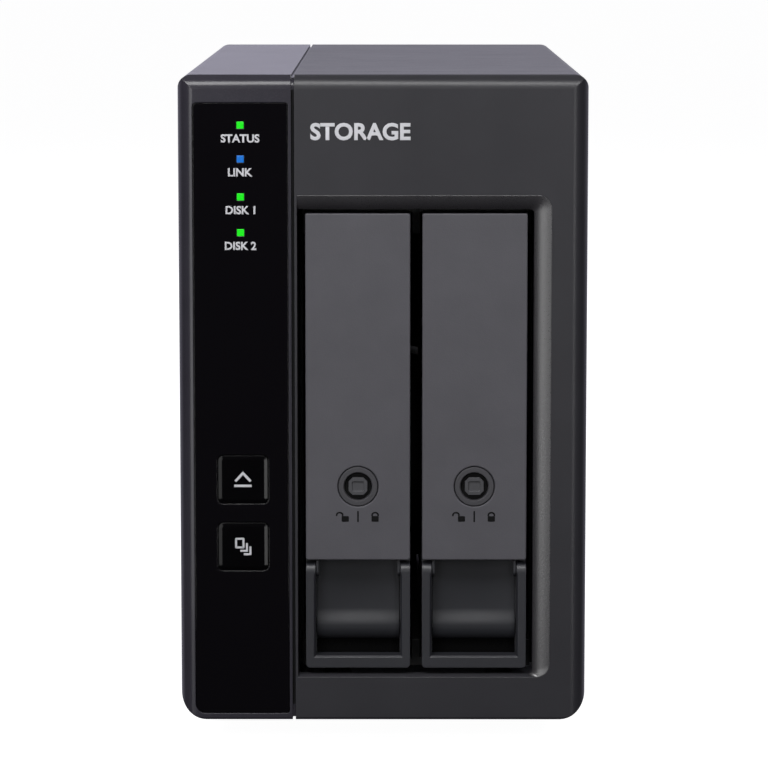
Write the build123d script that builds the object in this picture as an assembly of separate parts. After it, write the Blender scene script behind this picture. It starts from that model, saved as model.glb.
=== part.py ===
from build123d import *
import os

# Two-bay desktop disk storage unit, in millimetres.
# +X is to the right seen from the front, +Y points to the rear, +Z is up.
# The origin is on the standing surface, under the middle of the case.
# A span is a (low, high) pair along one axis.

# Case
WIDTH = 102.0
DEPTH = 219.0
HEIGHT = 168.5  # over the feet
FOOT_HEIGHT = 6.0
TOP_RADIUS = 3.5  # case corners seen from the front
BOTTOM_RADIUS = 7.2
WALL = 2.0
LIP = 1.2  # thickness of the lips that bridge the seams
LIP_REACH = 3.5
SEAM = 0.15  # width of the seam behind the bezels
FRONT = -DEPTH / 2
REAR = DEPTH / 2
BEZEL_BACK = FRONT + 20.0
REAR_CAP = REAR - 4.5  # where the rear panels meet the shells
FACE_PLATE = 4.0  # thickness of the bezels' front walls
SHELL_Y = (BEZEL_BACK + SEAM, REAR_CAP)

# The case is split by a narrow groove into the control column and the bay half
COLUMN_EDGE = -22.8
BAY_EDGE = -22.05
COLUMN_X = (-WIDTH / 2, COLUMN_EDGE)
BAY_X = (BAY_EDGE, WIDTH / 2)
STRIP_X = (COLUMN_EDGE - 3.0, BAY_EDGE + 3.0)  # lip under the groove
RIB_X = (COLUMN_EDGE, BAY_EDGE - 0.05)  # rib that stands in the groove
GROOVE_DEPTH = 0.75

# Rounding of the case's front and rear edges: top, bottom, sides
FRONT_ROUND = (3.5, 0.8, 3.8)
REAR_ROUND = (2.0, 0.8, 2.0)

# Lens panel, lights and keys in the control column
LENS_X = (-47.2, -23.6)
LENS_Z = (7.8, 161.6)
LENS_FACE = FRONT + 0.2
LENS_BACK = FRONT + 1.8
LENS_GAP = 0.1
LIGHT_X = -35.4
LIGHT_SIZE = 1.65
LIGHT_Z = {"status": 156.1, "link": 147.7, "disk_1": 138.3, "disk_2": 129.4}
KEY_X = -35.1
KEY_Z = {"eject": 67.4, "copy": 50.4}
KEY_SIZE = (12.4, 12.0)
KEY_RADIUS = 1.3
KEY_GAP = 0.2
KEY_BEVEL = (0.9, 0.17)  # width and depth of the sloped rim
KEY_FACE = FRONT + 0.05
KEY_TRAVEL = 1.0
FRONT_BOARD_Y = (-98.4, -96.8)
SWITCH_HEIGHT = 3.5

# Bay window in the front bezel: outer edge, then inner edge after the bevel
WINDOW_LEFT = -21.4
WINDOW_OUTER = ((WINDOW_LEFT, 42.0), (17.0, 138.7))
WINDOW_INNER = ((WINDOW_LEFT, 37.6), (17.5, 135.2))
WINDOW_OUTER_RADIUS = 3.3
WINDOW_INNER_RADIUS = 1.2
BEVEL_DEPTH = 1.2

# Trays, described about their own middle (x = 0) and placed at TRAY_CENTRES
TRAY_CENTRES = (-6.3, 22.9)
TRAY_HALF = 13.1
TRAY_FACE = FRONT + 1.5
COVER_THICK = 2.0
COVER_Z = (46.7, 134.05)
CORE_Y = (TRAY_FACE + COVER_THICK, -97.5)
CORE_Z = (19.1, 134.05)
CORE_SPLIT = 46.4  # the handle's recess ends here
RECESS_Y = -103.1  # back of the handle's recess beside the scoop
SCOOP_HALF = 10.5
SCOOP_DEPTH = 2.5
SCOOP_Z = 28.75  # lower end of the scoop, where its lip is
SCOOP_CORNER = 2.4  # radius of the scoop's upright corners
COVE_RADIUS = 4.5  # hollow curve from the scoop's back to its lip
LIP_Y = -103.9
LIP_EDGE = 0.7  # thickness of the lip's edge
LIP_SIDE = 0.05  # how far the lip stands in from the scoop's sides
VOID_Z = 21.0  # floor of the gap under the lip
RAIL_HALF = 12.3
RAIL_END = 52.0
LOWER_RAIL_Z = (20.2, 25.6)
UPPER_RAIL_Z = (127.6, 133.0)

# Tray handle
HANDLE_Z = (19.1, 45.9)
HANDLE_BAR = 2.4
HANDLE_GRIP = 3.1  # height of the bottom bar
PIVOT_RADIUS = 2.3
PIVOT_Y = TRAY_FACE + PIVOT_RADIUS
PIVOT_Z = HANDLE_Z[1] - PIVOT_RADIUS
PIN_RADIUS = 0.8
PIN_CLEARANCE = 0.05
HANDLE_CHAMFER = 0.45
EAR_X = (9.9, 10.55)
EAR_RADIUS = 1.4

# Tray lock
LOCK_Z = 65.4
LOCK_HOLE = 5.1
RING_RADIUS = 4.92
PLUG_RADIUS = 3.5
LOCK_SHAFT = 3.0
LOCK_TAIL = 2.0
CAM_Y = (-102.5, -101.1)

# Disk drive, 3.5 inch size, standing on its edge
DRIVE_HALF = 13.05
DRIVE_Y = (-96.0, 51.0)
DRIVE_Z = (25.8, 127.4)
DRIVE_SCREW_Y = (-79.1, 22.5)
PLATTER_RADIUS = 47.5
PLATTER_Y = -46.0

# Cage, guides and backplane
CAGE_SHEET = 1.0
CAGE_X = (-21.4, 38.4)
CAGE_Y = (-88.0, 56.0)
CAGE_Z = (16.5, 136.0)
GUIDE_Y = (-97.2, 54.0)
GUIDE_BASE = 2.1
GUIDE_RIB = 6.8
BACKPLANE_Y = (57.2, 58.8)
BACKPLANE_Z = (22.0, 72.0)
RECEPTACLE_Z = (28.0, 66.0)
BLADE_X = -8.5  # middle of the drive's connector, from the tray's middle

# Main board in the control column
BOARD_X = (-31.6, -30.0)
BOARD_Y = (-70.0, 101.0)
BOARD_Z = (14.0, 160.0)
BOARD_POSTS = [(-60.0, 24.0), (-60.0, 150.0), (40.0, 24.0), (40.0, 150.0)]  # y, z
FRONT_POSTS = (39.0, 115.0)  # z

# Rear connectors and controls
JACK_X = -36.3
JACK_Z = 32.0
USB_X = -33.4
USB_Z = 52.0
MODE_X = -35.5
MODE_Z = (74.0, 84.0)
MODE_TRAVEL = 2.0
POWER_X = -36.0
POWER_Z = 112.0
POWER_RADIUS = 4.0
POWER_TRAVEL = 1.2
LOCK_SLOT = (-44.0, 19.0)

# Fan
FAN_X = 14.5
FAN_Z = 104.0
FAN_SIZE = 60.0
FAN_BORE = 28.5
FAN_HUB = 13.0
FAN_Y = (REAR - 2.0 - 25.0, REAR - 2.0)
FAN_HOLES = 25.0
BLADE_COUNT = 7

# Feet and fasteners
FOOT_RADIUS = 6.0
FOOT_SPOTS = [(-38.0, -75.0), (38.0, -75.0), (-38.0, 88.0), (38.0, 88.0)]
CAGE_POSTS = [(-12.0, -70.0), (30.0, -70.0), (-12.0, 40.0), (30.0, 40.0)]


def middle(span):
    return (span[0] + span[1]) / 2


def length(span):
    return span[1] - span[0]


def around(centre, size):
    """The span of a size centred on a value."""
    return (centre - size / 2, centre + size / 2)


def block(x, y, z):
    """A box filling three spans."""
    return Pos(middle(x), middle(y), middle(z)) * Box(length(x), length(y), length(z))


def rod_x(x, y, z, radius):
    return Pos(middle(x), y, z) * Rot(0, 90, 0) * Cylinder(radius, length(x))


def rod_y(x, y, z, radius):
    return Pos(x, middle(y), z) * Rot(90, 0, 0) * Cylinder(radius, length(y))


def rod_z(x, y, z, radius):
    return Pos(x, y, middle(z)) * Cylinder(radius, length(z))


def rectangle(a, b, radii=(0, 0, 0, 0)):
    """A flat rectangle over two spans with its own radius at each corner.

    The radii run low-low, high-low, high-high, low-high; 0 leaves a corner square.
    """
    shape = Pos(middle(a), middle(b)) * Rectangle(length(a), length(b))
    corners = [(a[0], b[0]), (a[1], b[0]), (a[1], b[1]), (a[0], b[1])]
    for (u, v), radius in zip(corners, radii):
        if radius > 0:
            vertex = shape.vertices().sort_by_distance((u, v, 0))[0]
            shape = fillet(vertex, radius)
    return shape


def facing(y):
    """The plane at a depth y, drawn on as seen from the front: X across and Z up."""
    return Plane(origin=(0, y, 0), x_dir=(1, 0, 0), z_dir=(0, -1, 0))


def plate(sketch, y):
    """A sketch seen from the front, filled over a span of depths."""
    return extrude(facing(y[1]) * sketch, amount=length(y))


def profile_yz(sketch, x):
    """A sketch seen from the side (Y across, Z up), filled over a span of widths."""
    return extrude(Plane(origin=(x[0], 0, 0), x_dir=(0, 1, 0), z_dir=(1, 0, 0)) * sketch, amount=length(x))


def outline(inset=0.0):
    """The case seen from the front, drawn in by an inset."""
    x = (-WIDTH / 2 + inset, WIDTH / 2 - inset)
    z = (FOOT_HEIGHT + inset, HEIGHT - inset)
    top = TOP_RADIUS - inset
    bottom = BOTTOM_RADIUS - inset
    return rectangle(x, z, (bottom, bottom, top, top))


def slice_of_case(x, y, inset=0.0):
    """The case's section over a span of depths, cut to a span of widths."""
    return plate(outline(inset), y) & block(x, y, (0, HEIGHT))


def end_cap(y, rounding, at_front):
    """A solid end of the case, its outer edges rounded by (top, bottom, side) radii."""
    top, bottom, side = rounding
    z = (FOOT_HEIGHT, HEIGHT)
    x = (-WIDTH / 2, WIDTH / 2)
    if at_front:
        side_view = rectangle(y, z, (bottom, 0, 0, top))
        top_view = rectangle(x, y, (side, side, 0, 0))
    else:
        side_view = rectangle(y, z, (0, bottom, top, 0))
        top_view = rectangle(x, y, (0, 0, side, side))
    return plate(outline(), y) & profile_yz(side_view, x) & extrude(top_view, amount=HEIGHT)


def seam_ring(x, y):
    """A lip that runs inside the case's walls across a seam."""
    return slice_of_case(x, y, WALL) - slice_of_case(x, y, WALL + LIP)


def groove_strips(y):
    """Lips under the groove between the two halves, along the top and the bottom."""
    top = HEIGHT - WALL
    bottom = FOOT_HEIGHT + WALL
    return block(STRIP_X, y, (top - LIP, top)) + block(STRIP_X, y, (bottom, bottom + LIP))


def groove_rib(y):
    """The rib that stands in the groove, a little below the surface, over the front, the top and the floor."""
    top, bottom, _ = FRONT_ROUND
    z = (FOOT_HEIGHT + GROOVE_DEPTH, HEIGHT - GROOVE_DEPTH)
    inner_z = (FOOT_HEIGHT + WALL + LIP, HEIGHT - WALL - LIP)
    outer = rectangle((FRONT + GROOVE_DEPTH, REAR), z, (bottom - GROOVE_DEPTH, 0, 0, top - GROOVE_DEPTH))
    inner = rectangle((FRONT + FACE_PLATE, REAR), inner_z)
    return profile_yz(outer - inner, RIB_X) & block(RIB_X, y, (0, HEIGHT))


def group(solids):
    """Separate solids as one node."""
    return Compound([solid for shape in solids for solid in shape.solids()])


def chamfered_window():
    """The bay window: a bevel from the outer edge to the inner edge, then straight back."""
    outer_r = WINDOW_OUTER_RADIUS
    inner_r = WINDOW_INNER_RADIUS
    outer = rectangle(*WINDOW_OUTER, (0, outer_r, outer_r, 0))
    inner = rectangle(*WINDOW_INNER, (0, inner_r, inner_r, 0))
    bevel = loft([facing(FRONT) * outer, facing(FRONT + BEVEL_DEPTH) * inner], ruled=True)
    return bevel + plate(inner, (FRONT + BEVEL_DEPTH, BEZEL_BACK))


def front_bezel():
    """The bay half's front: bevelled window, hollow behind, with lips into the shell."""
    inner_y = (FRONT + FACE_PLATE, BEZEL_BACK)
    body = end_cap((FRONT, BEZEL_BACK), FRONT_ROUND, True) & block(BAY_X, (FRONT, BEZEL_BACK), (0, HEIGHT))
    body -= slice_of_case((WINDOW_LEFT, WIDTH / 2), inner_y, WALL)
    body += seam_ring((STRIP_X[1], WIDTH / 2), (BEZEL_BACK - LIP_REACH, BEZEL_BACK + LIP_REACH))
    return body - chamfered_window() - groove_strips(inner_y)


def key_outline(name, gap=0.0):
    width, height = KEY_SIZE
    radius = KEY_RADIUS + gap
    x = around(KEY_X, width + 2 * gap)
    z = around(KEY_Z[name], height + 2 * gap)
    return rectangle(x, z, (radius,) * 4)


def column_holes(y):
    """Holes for the keys and the light pipes over a span of depths."""
    holes = [plate(key_outline(name, KEY_GAP), y) for name in KEY_Z]
    size = LIGHT_SIZE + LENS_GAP
    holes += [block(around(LIGHT_X, size), y, around(z, size)) for z in LIGHT_Z.values()]
    return group(holes)


def lens_outline(gap=0.0):
    x = (LENS_X[0] - gap, LENS_X[1] + gap)
    z = (LENS_Z[0] - gap, LENS_Z[1] + gap)
    return rectangle(x, z, (2.5, 0.8, 0.8, 1.2))


def control_panel_housing():
    """The column's front: a tray for the lens panel, hollow behind, with posts for the front board."""
    partition = COLUMN_EDGE - WALL + 0.5
    inner_y = (FRONT + FACE_PLATE, BEZEL_BACK)
    body = end_cap((FRONT, BEZEL_BACK), FRONT_ROUND, True) & block(COLUMN_X, (FRONT, BEZEL_BACK), (0, HEIGHT))
    body -= slice_of_case((-WIDTH / 2, partition), inner_y, WALL)
    body -= plate(lens_outline(LENS_GAP), (FRONT, LENS_BACK))
    body -= column_holes((LENS_BACK, inner_y[0]))
    for z in FRONT_POSTS:
        body += rod_y(KEY_X, (inner_y[0], FRONT_BOARD_Y[0]), z, 2.5)
        body -= rod_y(KEY_X, (FRONT_BOARD_Y[0] - 3.0, FRONT_BOARD_Y[0]), z, 1.0)
    body += seam_ring((-WIDTH / 2, STRIP_X[0]), (BEZEL_BACK - LIP_REACH, BEZEL_BACK + LIP_REACH))
    return body + groove_strips(inner_y) + groove_rib((FRONT, BEZEL_BACK))


def lens_panel():
    """The glossy dark panel let into the column."""
    body = plate(lens_outline(), (LENS_FACE, LENS_BACK))
    return body - column_holes((LENS_FACE, LENS_BACK))


def light_pipe(z):
    """A square rod that ends flush with the lens, with a collar behind the housing's wall."""
    collar_y = (FRONT + FACE_PLATE, FRONT + FACE_PLATE + 1.0)
    tip = block(around(LIGHT_X, LIGHT_SIZE), (LENS_FACE, FRONT_BOARD_Y[0] - 1.3), around(z, LIGHT_SIZE))
    return tip + block(around(LIGHT_X, 3.4), collar_y, around(z, 3.4))


def front_board():
    body = block((-47.0, -26.0), FRONT_BOARD_Y, (35.0, 161.0))
    for z in FRONT_POSTS:
        body -= rod_y(KEY_X, FRONT_BOARD_Y, z, 1.2)
    return body


def front_leds():
    """One small lamp on the front board behind each light pipe."""
    y = (FRONT_BOARD_Y[0] - 1.0, FRONT_BOARD_Y[0])
    return group([block(around(LIGHT_X, 1.6), y, around(z, 3.2)) for z in LIGHT_Z.values()])


def key_switches():
    """The push switches on the front board."""
    switches = []
    for z in KEY_Z.values():
        base_y = (FRONT_BOARD_Y[0] - SWITCH_HEIGHT + 0.6, FRONT_BOARD_Y[0])
        base = block(around(KEY_X, 6.0), base_y, around(z, 6.0))
        switches.append(base + rod_y(KEY_X, (FRONT_BOARD_Y[0] - SWITCH_HEIGHT, base_y[0]), z, 1.7))
    return group(switches)


def front_key(name):
    """A square key with a sloped rim, a flange that keeps it in, and a stem for its switch."""
    z = KEY_Z[name]
    width, depth = KEY_BEVEL
    flange_y = (FRONT + FACE_PLATE + 0.2, FRONT + FACE_PLATE + 1.0)
    body = plate(key_outline(name), (KEY_FACE + depth, flange_y[1]))
    face = facing(KEY_FACE) * key_outline(name, -width)
    body += loft([face, facing(KEY_FACE + depth) * key_outline(name)], ruled=True)
    body += block(around(KEY_X, 14.6), flange_y, around(z, 14.2))
    stem_end = FRONT_BOARD_Y[0] - SWITCH_HEIGHT - KEY_TRAVEL - 0.1
    return body + rod_y(KEY_X, (flange_y[1], stem_end), z, 1.5)


def bottom_vents():
    """Slots through the floor under the drives."""
    x_positions = [-10.0 + 8.0 * step for step in range(6)]
    z = (FOOT_HEIGHT, FOOT_HEIGHT + WALL)
    return group([block(around(x, 2.4), around(-15.0, 60.0), z) for x in x_positions])


def left_shell():
    """The column's shell: top, side and floor, posts for the main board, and lips under the groove."""
    body = slice_of_case(COLUMN_X, SHELL_Y) - slice_of_case(COLUMN_X, SHELL_Y, WALL)
    body += groove_strips(SHELL_Y) + groove_rib(SHELL_Y)
    wall = -WIDTH / 2 + WALL
    for y, z in BOARD_POSTS:
        body += rod_x((wall, BOARD_X[0]), y, z, 3.0)
        body -= rod_x((BOARD_X[0] - 5.0, BOARD_X[0]), y, z, 1.2)
    return body


def right_shell():
    """The bay half's shell: top, side and floor, with vents and posts for the cage."""
    body = slice_of_case(BAY_X, SHELL_Y) - slice_of_case(BAY_X, SHELL_Y, WALL)
    floor = FOOT_HEIGHT + WALL
    for x, y in CAGE_POSTS:
        body += rod_z(x, y, (floor, CAGE_Z[0]), 3.5)
        body -= rod_z(x, y, (FOOT_HEIGHT, CAGE_Z[0]), 1.7)
        body -= rod_z(x, y, (FOOT_HEIGHT, FOOT_HEIGHT + 2.0), 3.2)
    return body - bottom_vents()


def rear_cap(x, lip_x):
    """A rear panel: rounded plate with short walls and a lip into the shell."""
    y = (REAR_CAP, REAR)
    body = end_cap(y, REAR_ROUND, False) & block(x, y, (0, HEIGHT))
    body -= slice_of_case(x, (REAR_CAP, REAR - WALL), WALL)
    return body + seam_ring(lip_x, (REAR_CAP - LIP_REACH, REAR - WALL))


def fan_grille():
    """Ring-shaped slots over the fan, interrupted by four spokes."""
    y = (REAR - WALL, REAR)
    rings = [
        rod_y(FAN_X, y, FAN_Z, radius + 2.2) - rod_y(FAN_X, y, FAN_Z, radius)
        for radius in (5.0, 9.4, 13.8, 18.2, 22.6)
    ]
    slots = Part() + rings
    spoke = block(around(FAN_X, 64.0), y, around(FAN_Z, 2.0))
    for angle in (45, 135):
        slots -= Pos(FAN_X, 0, FAN_Z) * Rot(0, angle, 0) * Pos(-FAN_X, 0, -FAN_Z) * spoke
    return slots


def fan_corners():
    """The fan's four screw holes, across and up."""
    return [(FAN_X + i * FAN_HOLES, FAN_Z + k * FAN_HOLES) for i in (-1, 1) for k in (-1, 1)]


def rear_fan_panel():
    """The bay half's rear: fan grille, screw holes and a row of vents below."""
    y = (REAR - WALL, REAR)
    body = rear_cap(BAY_X, (STRIP_X[1], WIDTH / 2)) - fan_grille()
    for x, z in fan_corners():
        body -= rod_y(x, y, z, 1.9)
    for step in range(10):
        x = -13.0 + 6.0 * step
        body -= plate(rectangle(around(x, 2.4), (20.0, 56.0), (1.1,) * 4), y)
    return body


def rear_port_panel():
    """The column's rear: openings for the jack, the port, the switches and a security slot."""
    y = (REAR - WALL, REAR)
    body = rear_cap(COLUMN_X, (-WIDTH / 2, STRIP_X[0]))
    body -= rod_y(JACK_X, y, JACK_Z, 5.0)
    body -= plate(rectangle(around(USB_X, 3.9), around(USB_Z, 9.7), (1.9,) * 4), y)
    for z in MODE_Z:
        body -= block(around(MODE_X, 2.4), y, around(z + MODE_TRAVEL / 2, 2.0 + MODE_TRAVEL + 0.6))
    body -= rod_y(POWER_X, y, POWER_Z, POWER_RADIUS + 0.15)
    body -= plate(rectangle(around(LOCK_SLOT[0], 3.0), around(LOCK_SLOT[1], 7.0), (1.0,) * 4), y)
    return body


def handle_ears():
    """Small ears on the tray that carry the handle's pins."""
    solid = Part()
    for side in (-1, 1):
        x = tuple(sorted((side * EAR_X[0], side * EAR_X[1])))
        y = (PIVOT_Y - EAR_RADIUS, RECESS_Y + 1.1)
        side_view = rectangle(y, (PIVOT_Z - EAR_RADIUS, CORE_SPLIT), (1.3, 0, 0, 0))
        solid += profile_yz(side_view, x) - rod_x(x, PIVOT_Y, PIVOT_Z, PIN_RADIUS + PIN_CLEARANCE)
    return solid


def scoop_lip():
    """The lip at the scoop's foot: a hollow curve forward to a thin edge, over a sloped underside."""
    back = RECESS_Y + SCOOP_DEPTH
    behind = back + 0.5
    edge = (LIP_Y, SCOOP_Z + LIP_EDGE)
    reach = back - LIP_Y
    top = edge[1] + (COVE_RADIUS**2 - (COVE_RADIUS - reach) ** 2) ** 0.5
    cove = RadiusArc((back, top), edge, COVE_RADIUS)
    side = Polyline(edge, (LIP_Y, SCOOP_Z), (behind, SCOOP_Z - 0.8), (behind, top), (back, top))
    body = profile_yz(make_face(cove + side), (-SCOOP_HALF - 0.3, SCOOP_HALF + 0.3))
    for end in ((-SCOOP_HALF - 0.3, LIP_SIDE - SCOOP_HALF), (SCOOP_HALF - LIP_SIDE, SCOOP_HALF + 0.3)):
        body -= block(end, (LIP_Y, RECESS_Y), (VOID_Z, top))
    return body


def tray_front():
    """The tray's front core: plate behind the cover, finger scoop, its lip and the gap under it."""
    full = (-TRAY_HALF, TRAY_HALF)
    body = block(full, CORE_Y, CORE_Z)
    body -= block(full, (CORE_Y[0], RECESS_Y), (CORE_Z[0], CORE_SPLIT))
    body -= block((-11.5, 11.5), (CORE_Y[0] + 3.0, CORE_Y[1]), (48.0, 126.0))
    scoop = rectangle((-SCOOP_HALF, SCOOP_HALF), (CORE_Y[0], RECESS_Y + SCOOP_DEPTH), (0, 0, *(SCOOP_CORNER,) * 2))
    body -= Pos(0, 0, SCOOP_Z) * extrude(scoop, amount=CORE_SPLIT - SCOOP_Z)
    body -= block((-SCOOP_HALF, SCOOP_HALF), (RECESS_Y, CORE_Y[1] - 1.0), (VOID_Z, SCOOP_Z))
    body += scoop_lip() + handle_ears()
    return body - rod_y(0, CORE_Y, LOCK_Z, LOCK_SHAFT + PIN_CLEARANCE)


def drive_screw(y, below):
    """A drive screw through a rail; its head sits in the rail's outer face."""
    if below:
        head = rod_z(0, y, (LOWER_RAIL_Z[0] + 0.2, LOWER_RAIL_Z[0] + 2.0), 3.0)
        return head + rod_z(0, y, (LOWER_RAIL_Z[0] + 2.0, DRIVE_Z[0] + 2.8), 1.7)
    head = rod_z(0, y, (UPPER_RAIL_Z[1] - 2.0, UPPER_RAIL_Z[1] - 0.2), 3.0)
    return head + rod_z(0, y, (DRIVE_Z[1] - 2.8, UPPER_RAIL_Z[1] - 2.0), 1.7)


def tray_screws():
    return group([drive_screw(y, below) for y in DRIVE_SCREW_Y for below in (True, False)])


def screw_holes():
    """Clearance for the drive screws: head pockets, and shank holes through rail and drive."""
    holes = Part()
    for y in DRIVE_SCREW_Y:
        holes += rod_z(0, y, (LOWER_RAIL_Z[0], LOWER_RAIL_Z[0] + 2.0), 3.2)
        holes += rod_z(0, y, (LOWER_RAIL_Z[0], DRIVE_Z[0] + 4.0), 1.8)
        holes += rod_z(0, y, (UPPER_RAIL_Z[1] - 2.0, UPPER_RAIL_Z[1]), 3.2)
        holes += rod_z(0, y, (DRIVE_Z[1] - 4.0, UPPER_RAIL_Z[1]), 1.8)
    return holes


def tray_frame():
    """The tray: front core and the two rails that hold the drive's edges."""
    body = tray_front()
    for z in (LOWER_RAIL_Z, UPPER_RAIL_Z):
        rail = block((-RAIL_HALF, RAIL_HALF), (CORE_Y[1], RAIL_END), z)
        for y in (-55.0, -30.0, -5.0):
            rail -= block((-7.0, 7.0), around(y, 16.0), z)
        body += rail
    return body - screw_holes()


def tray_cover():
    """The textured panel on the tray's front, with the hole for the lock ring."""
    sketch = rectangle((-TRAY_HALF, TRAY_HALF), COVER_Z, (0.6,) * 4) - Pos(0, LOCK_Z) * Circle(LOCK_HOLE)
    body = plate(sketch, (TRAY_FACE, CORE_Y[0]))
    face = body.faces().sort_by(Axis.Y)[0]
    return fillet(face.edges(), 0.3)


def lock_ring():
    y = (TRAY_FACE, CORE_Y[0])
    body = rod_y(0, y, LOCK_Z, RING_RADIUS) - rod_y(0, y, LOCK_Z, PLUG_RADIUS + PIN_CLEARANCE)
    return chamfer(body.faces().sort_by(Axis.Y)[0].edges(), 0.12)


def lock_plug():
    """The turning plug: head in the ring, square boss with cut corners, shaft and tail."""
    head_y = (TRAY_FACE + 1.5, CORE_Y[0] - 0.05)
    boss_y = (TRAY_FACE + 0.4, head_y[0])
    boss = plate(rectangle(around(0, 4.7), around(LOCK_Z, 4.4)), boss_y)
    boss = chamfer(boss.edges().filter_by(Axis.Y), 1.0)
    boss -= plate(rectangle(around(0, 3.0), around(LOCK_Z, 2.5), (0.4,) * 4), (boss_y[0], boss_y[0] + 0.35))
    body = rod_y(0, head_y, LOCK_Z, PLUG_RADIUS) + boss
    body += rod_y(0, (head_y[1], CAM_Y[0] - 0.1), LOCK_Z, LOCK_SHAFT)
    return body + rod_y(0, (CAM_Y[0] - 0.1, CAM_Y[1] + 0.3), LOCK_Z, LOCK_TAIL)


def lock_cam():
    """The flat arm on the plug's tail."""
    arm = rectangle((-3.2, 3.2), (LOCK_Z - 3.2, LOCK_Z + 10.5), (3.1, 3.1, 1.0, 1.0))
    return plate(arm, CAM_Y) - rod_y(0, CAM_Y, LOCK_Z, LOCK_TAIL + 0.02)


def tray_handle():
    """The U-shaped handle: side bars hung on pins at their tops, and a grip bar, bevelled inside the U."""
    y = (TRAY_FACE, PIVOT_Y + PIVOT_RADIUS)
    grip_top = HANDLE_Z[0] + HANDLE_GRIP
    inner = TRAY_HALF - HANDLE_BAR
    wide = inner + HANDLE_CHAMFER
    opening_z = (grip_top, PIVOT_Z + 5.0)
    frame = rectangle((-TRAY_HALF, TRAY_HALF), (HANDLE_Z[0], PIVOT_Z), (1.0, 1.0, 0, 0))
    body = plate(frame, y) - plate(rectangle((-inner, inner), opening_z), y)
    front = facing(y[0]) * rectangle((-wide, wide), (grip_top - HANDLE_CHAMFER, opening_z[1]))
    behind = facing(y[0] + HANDLE_CHAMFER) * rectangle((-inner, inner), opening_z)
    body -= loft([front, behind], ruled=True)
    for side in (-1, 1):
        bar = tuple(sorted((side * inner, side * TRAY_HALF)))
        pin = tuple(sorted((side * EAR_X[0], side * inner)))
        body += rod_x(bar, PIVOT_Y, PIVOT_Z, PIVOT_RADIUS)
        body += rod_x(pin, PIVOT_Y, PIVOT_Z, PIN_RADIUS)
    return body


def drive_base():
    """The drive's casting: platter chamber, board recess, connector recess and screw holes."""
    body = block((-DRIVE_HALF, DRIVE_HALF - 1.0), DRIVE_Y, DRIVE_Z)
    body -= rod_x((-8.0, DRIVE_HALF), PLATTER_Y, middle(DRIVE_Z), PLATTER_RADIUS)
    body -= block((-DRIVE_HALF, -11.0), (-62.0, 46.0), (32.0, 121.0))
    body -= block((-DRIVE_HALF, -4.5), (37.5, DRIVE_Y[1]), (27.0, 67.0))
    return body - screw_holes()


def drive_lid():
    """The stamped lid, with a shallow raised ring over the platters."""
    x = (DRIVE_HALF - 1.0, DRIVE_HALF)
    sketch = rectangle((DRIVE_Y[0] + 1.5, DRIVE_Y[1] - 6.0), (DRIVE_Z[0] + 1.5, DRIVE_Z[1] - 1.5), (4.0,) * 4)
    body = profile_yz(sketch, x)
    groove = rod_x((x[1] - 0.4, x[1]), PLATTER_Y, middle(DRIVE_Z), 44.0)
    return body - (groove - rod_x((x[1] - 0.4, x[1]), PLATTER_Y, middle(DRIVE_Z), 42.5))


def drive_board():
    """The drive's circuit board with its controller chip and the connector at its rear."""
    body = block((-12.4, -11.0), (-61.0, 45.0), (33.0, 120.0))
    body += block((-13.0, -12.4), (-20.0, 0.0), (60.0, 80.0))
    body += block((-11.0, -5.5), (38.0, 44.5), (28.0, 66.0))
    return body + block(around(BLADE_X, 1.2), (44.5, 50.5), (30.0, 64.0))


def drive_cage():
    """A folded sheet-metal tube around both drives, with screw holes in its floor."""
    outer = block(CAGE_X, CAGE_Y, CAGE_Z)
    inner_x = (CAGE_X[0] + CAGE_SHEET, CAGE_X[1] - CAGE_SHEET)
    inner_z = (CAGE_Z[0] + CAGE_SHEET, CAGE_Z[1] - CAGE_SHEET)
    body = outer - block(inner_x, CAGE_Y, inner_z)
    for x, y in CAGE_POSTS:
        body -= rod_z(x, y, (CAGE_Z[0], CAGE_Z[0] + CAGE_SHEET), 1.2)
    for y in (-60.0, -35.0, -10.0, 15.0):
        body -= block(CAGE_X, around(y, 14.0), (52.0, 60.0))
        body -= block(CAGE_X, around(y, 14.0), (92.0, 100.0))
    return body


def guide(base_z, rib_z):
    """A plastic guide: a base with ribs beside and between the trays' rails."""
    body = block((CAGE_X[0] + CAGE_SHEET, CAGE_X[1] - CAGE_SHEET), GUIDE_Y, base_z)
    gap_middle = middle(TRAY_CENTRES)
    for x in ((CAGE_X[0] + CAGE_SHEET, -19.5), around(gap_middle, 2.0), (36.2, CAGE_X[1] - CAGE_SHEET)):
        body += block(x, GUIDE_Y, rib_z)
    return body


def lower_guide():
    bottom = CAGE_Z[0] + CAGE_SHEET
    body = guide((bottom, bottom + GUIDE_BASE), (bottom, bottom + GUIDE_RIB))
    for x, y in CAGE_POSTS:
        body -= rod_z(x, y, (bottom, bottom + GUIDE_BASE), 2.0)
    return body


def upper_guide():
    top = CAGE_Z[1] - CAGE_SHEET
    return guide((top - 1.6, top), (top - GUIDE_RIB, top))


def backplane_board():
    """The upright board behind the drives; its left edge reaches the main board's socket."""
    return block((-28.0, 36.0), BACKPLANE_Y, BACKPLANE_Z)


def sata_receptacles():
    """The two receptacles that the drives' connectors enter."""
    receptacles = []
    for centre in TRAY_CENTRES:
        body = block(around(centre + BLADE_X, 5.6), (46.0, BACKPLANE_Y[0]), RECEPTACLE_Z)
        slot = block(around(centre + BLADE_X, 2.2), (46.0, 55.0), (29.0, 65.0))
        receptacles.append(body - slot)
    return group(receptacles)


def edge_socket():
    """The socket on the main board for the backplane's edge."""
    y = around(middle(BACKPLANE_Y), 6.0)
    body = block((BOARD_X[1], -25.5), y, (20.0, 74.0))
    return body - block((-28.2, -25.5), (BACKPLANE_Y[0] - 0.1, BACKPLANE_Y[1] + 0.1), (21.8, 72.2))


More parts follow.
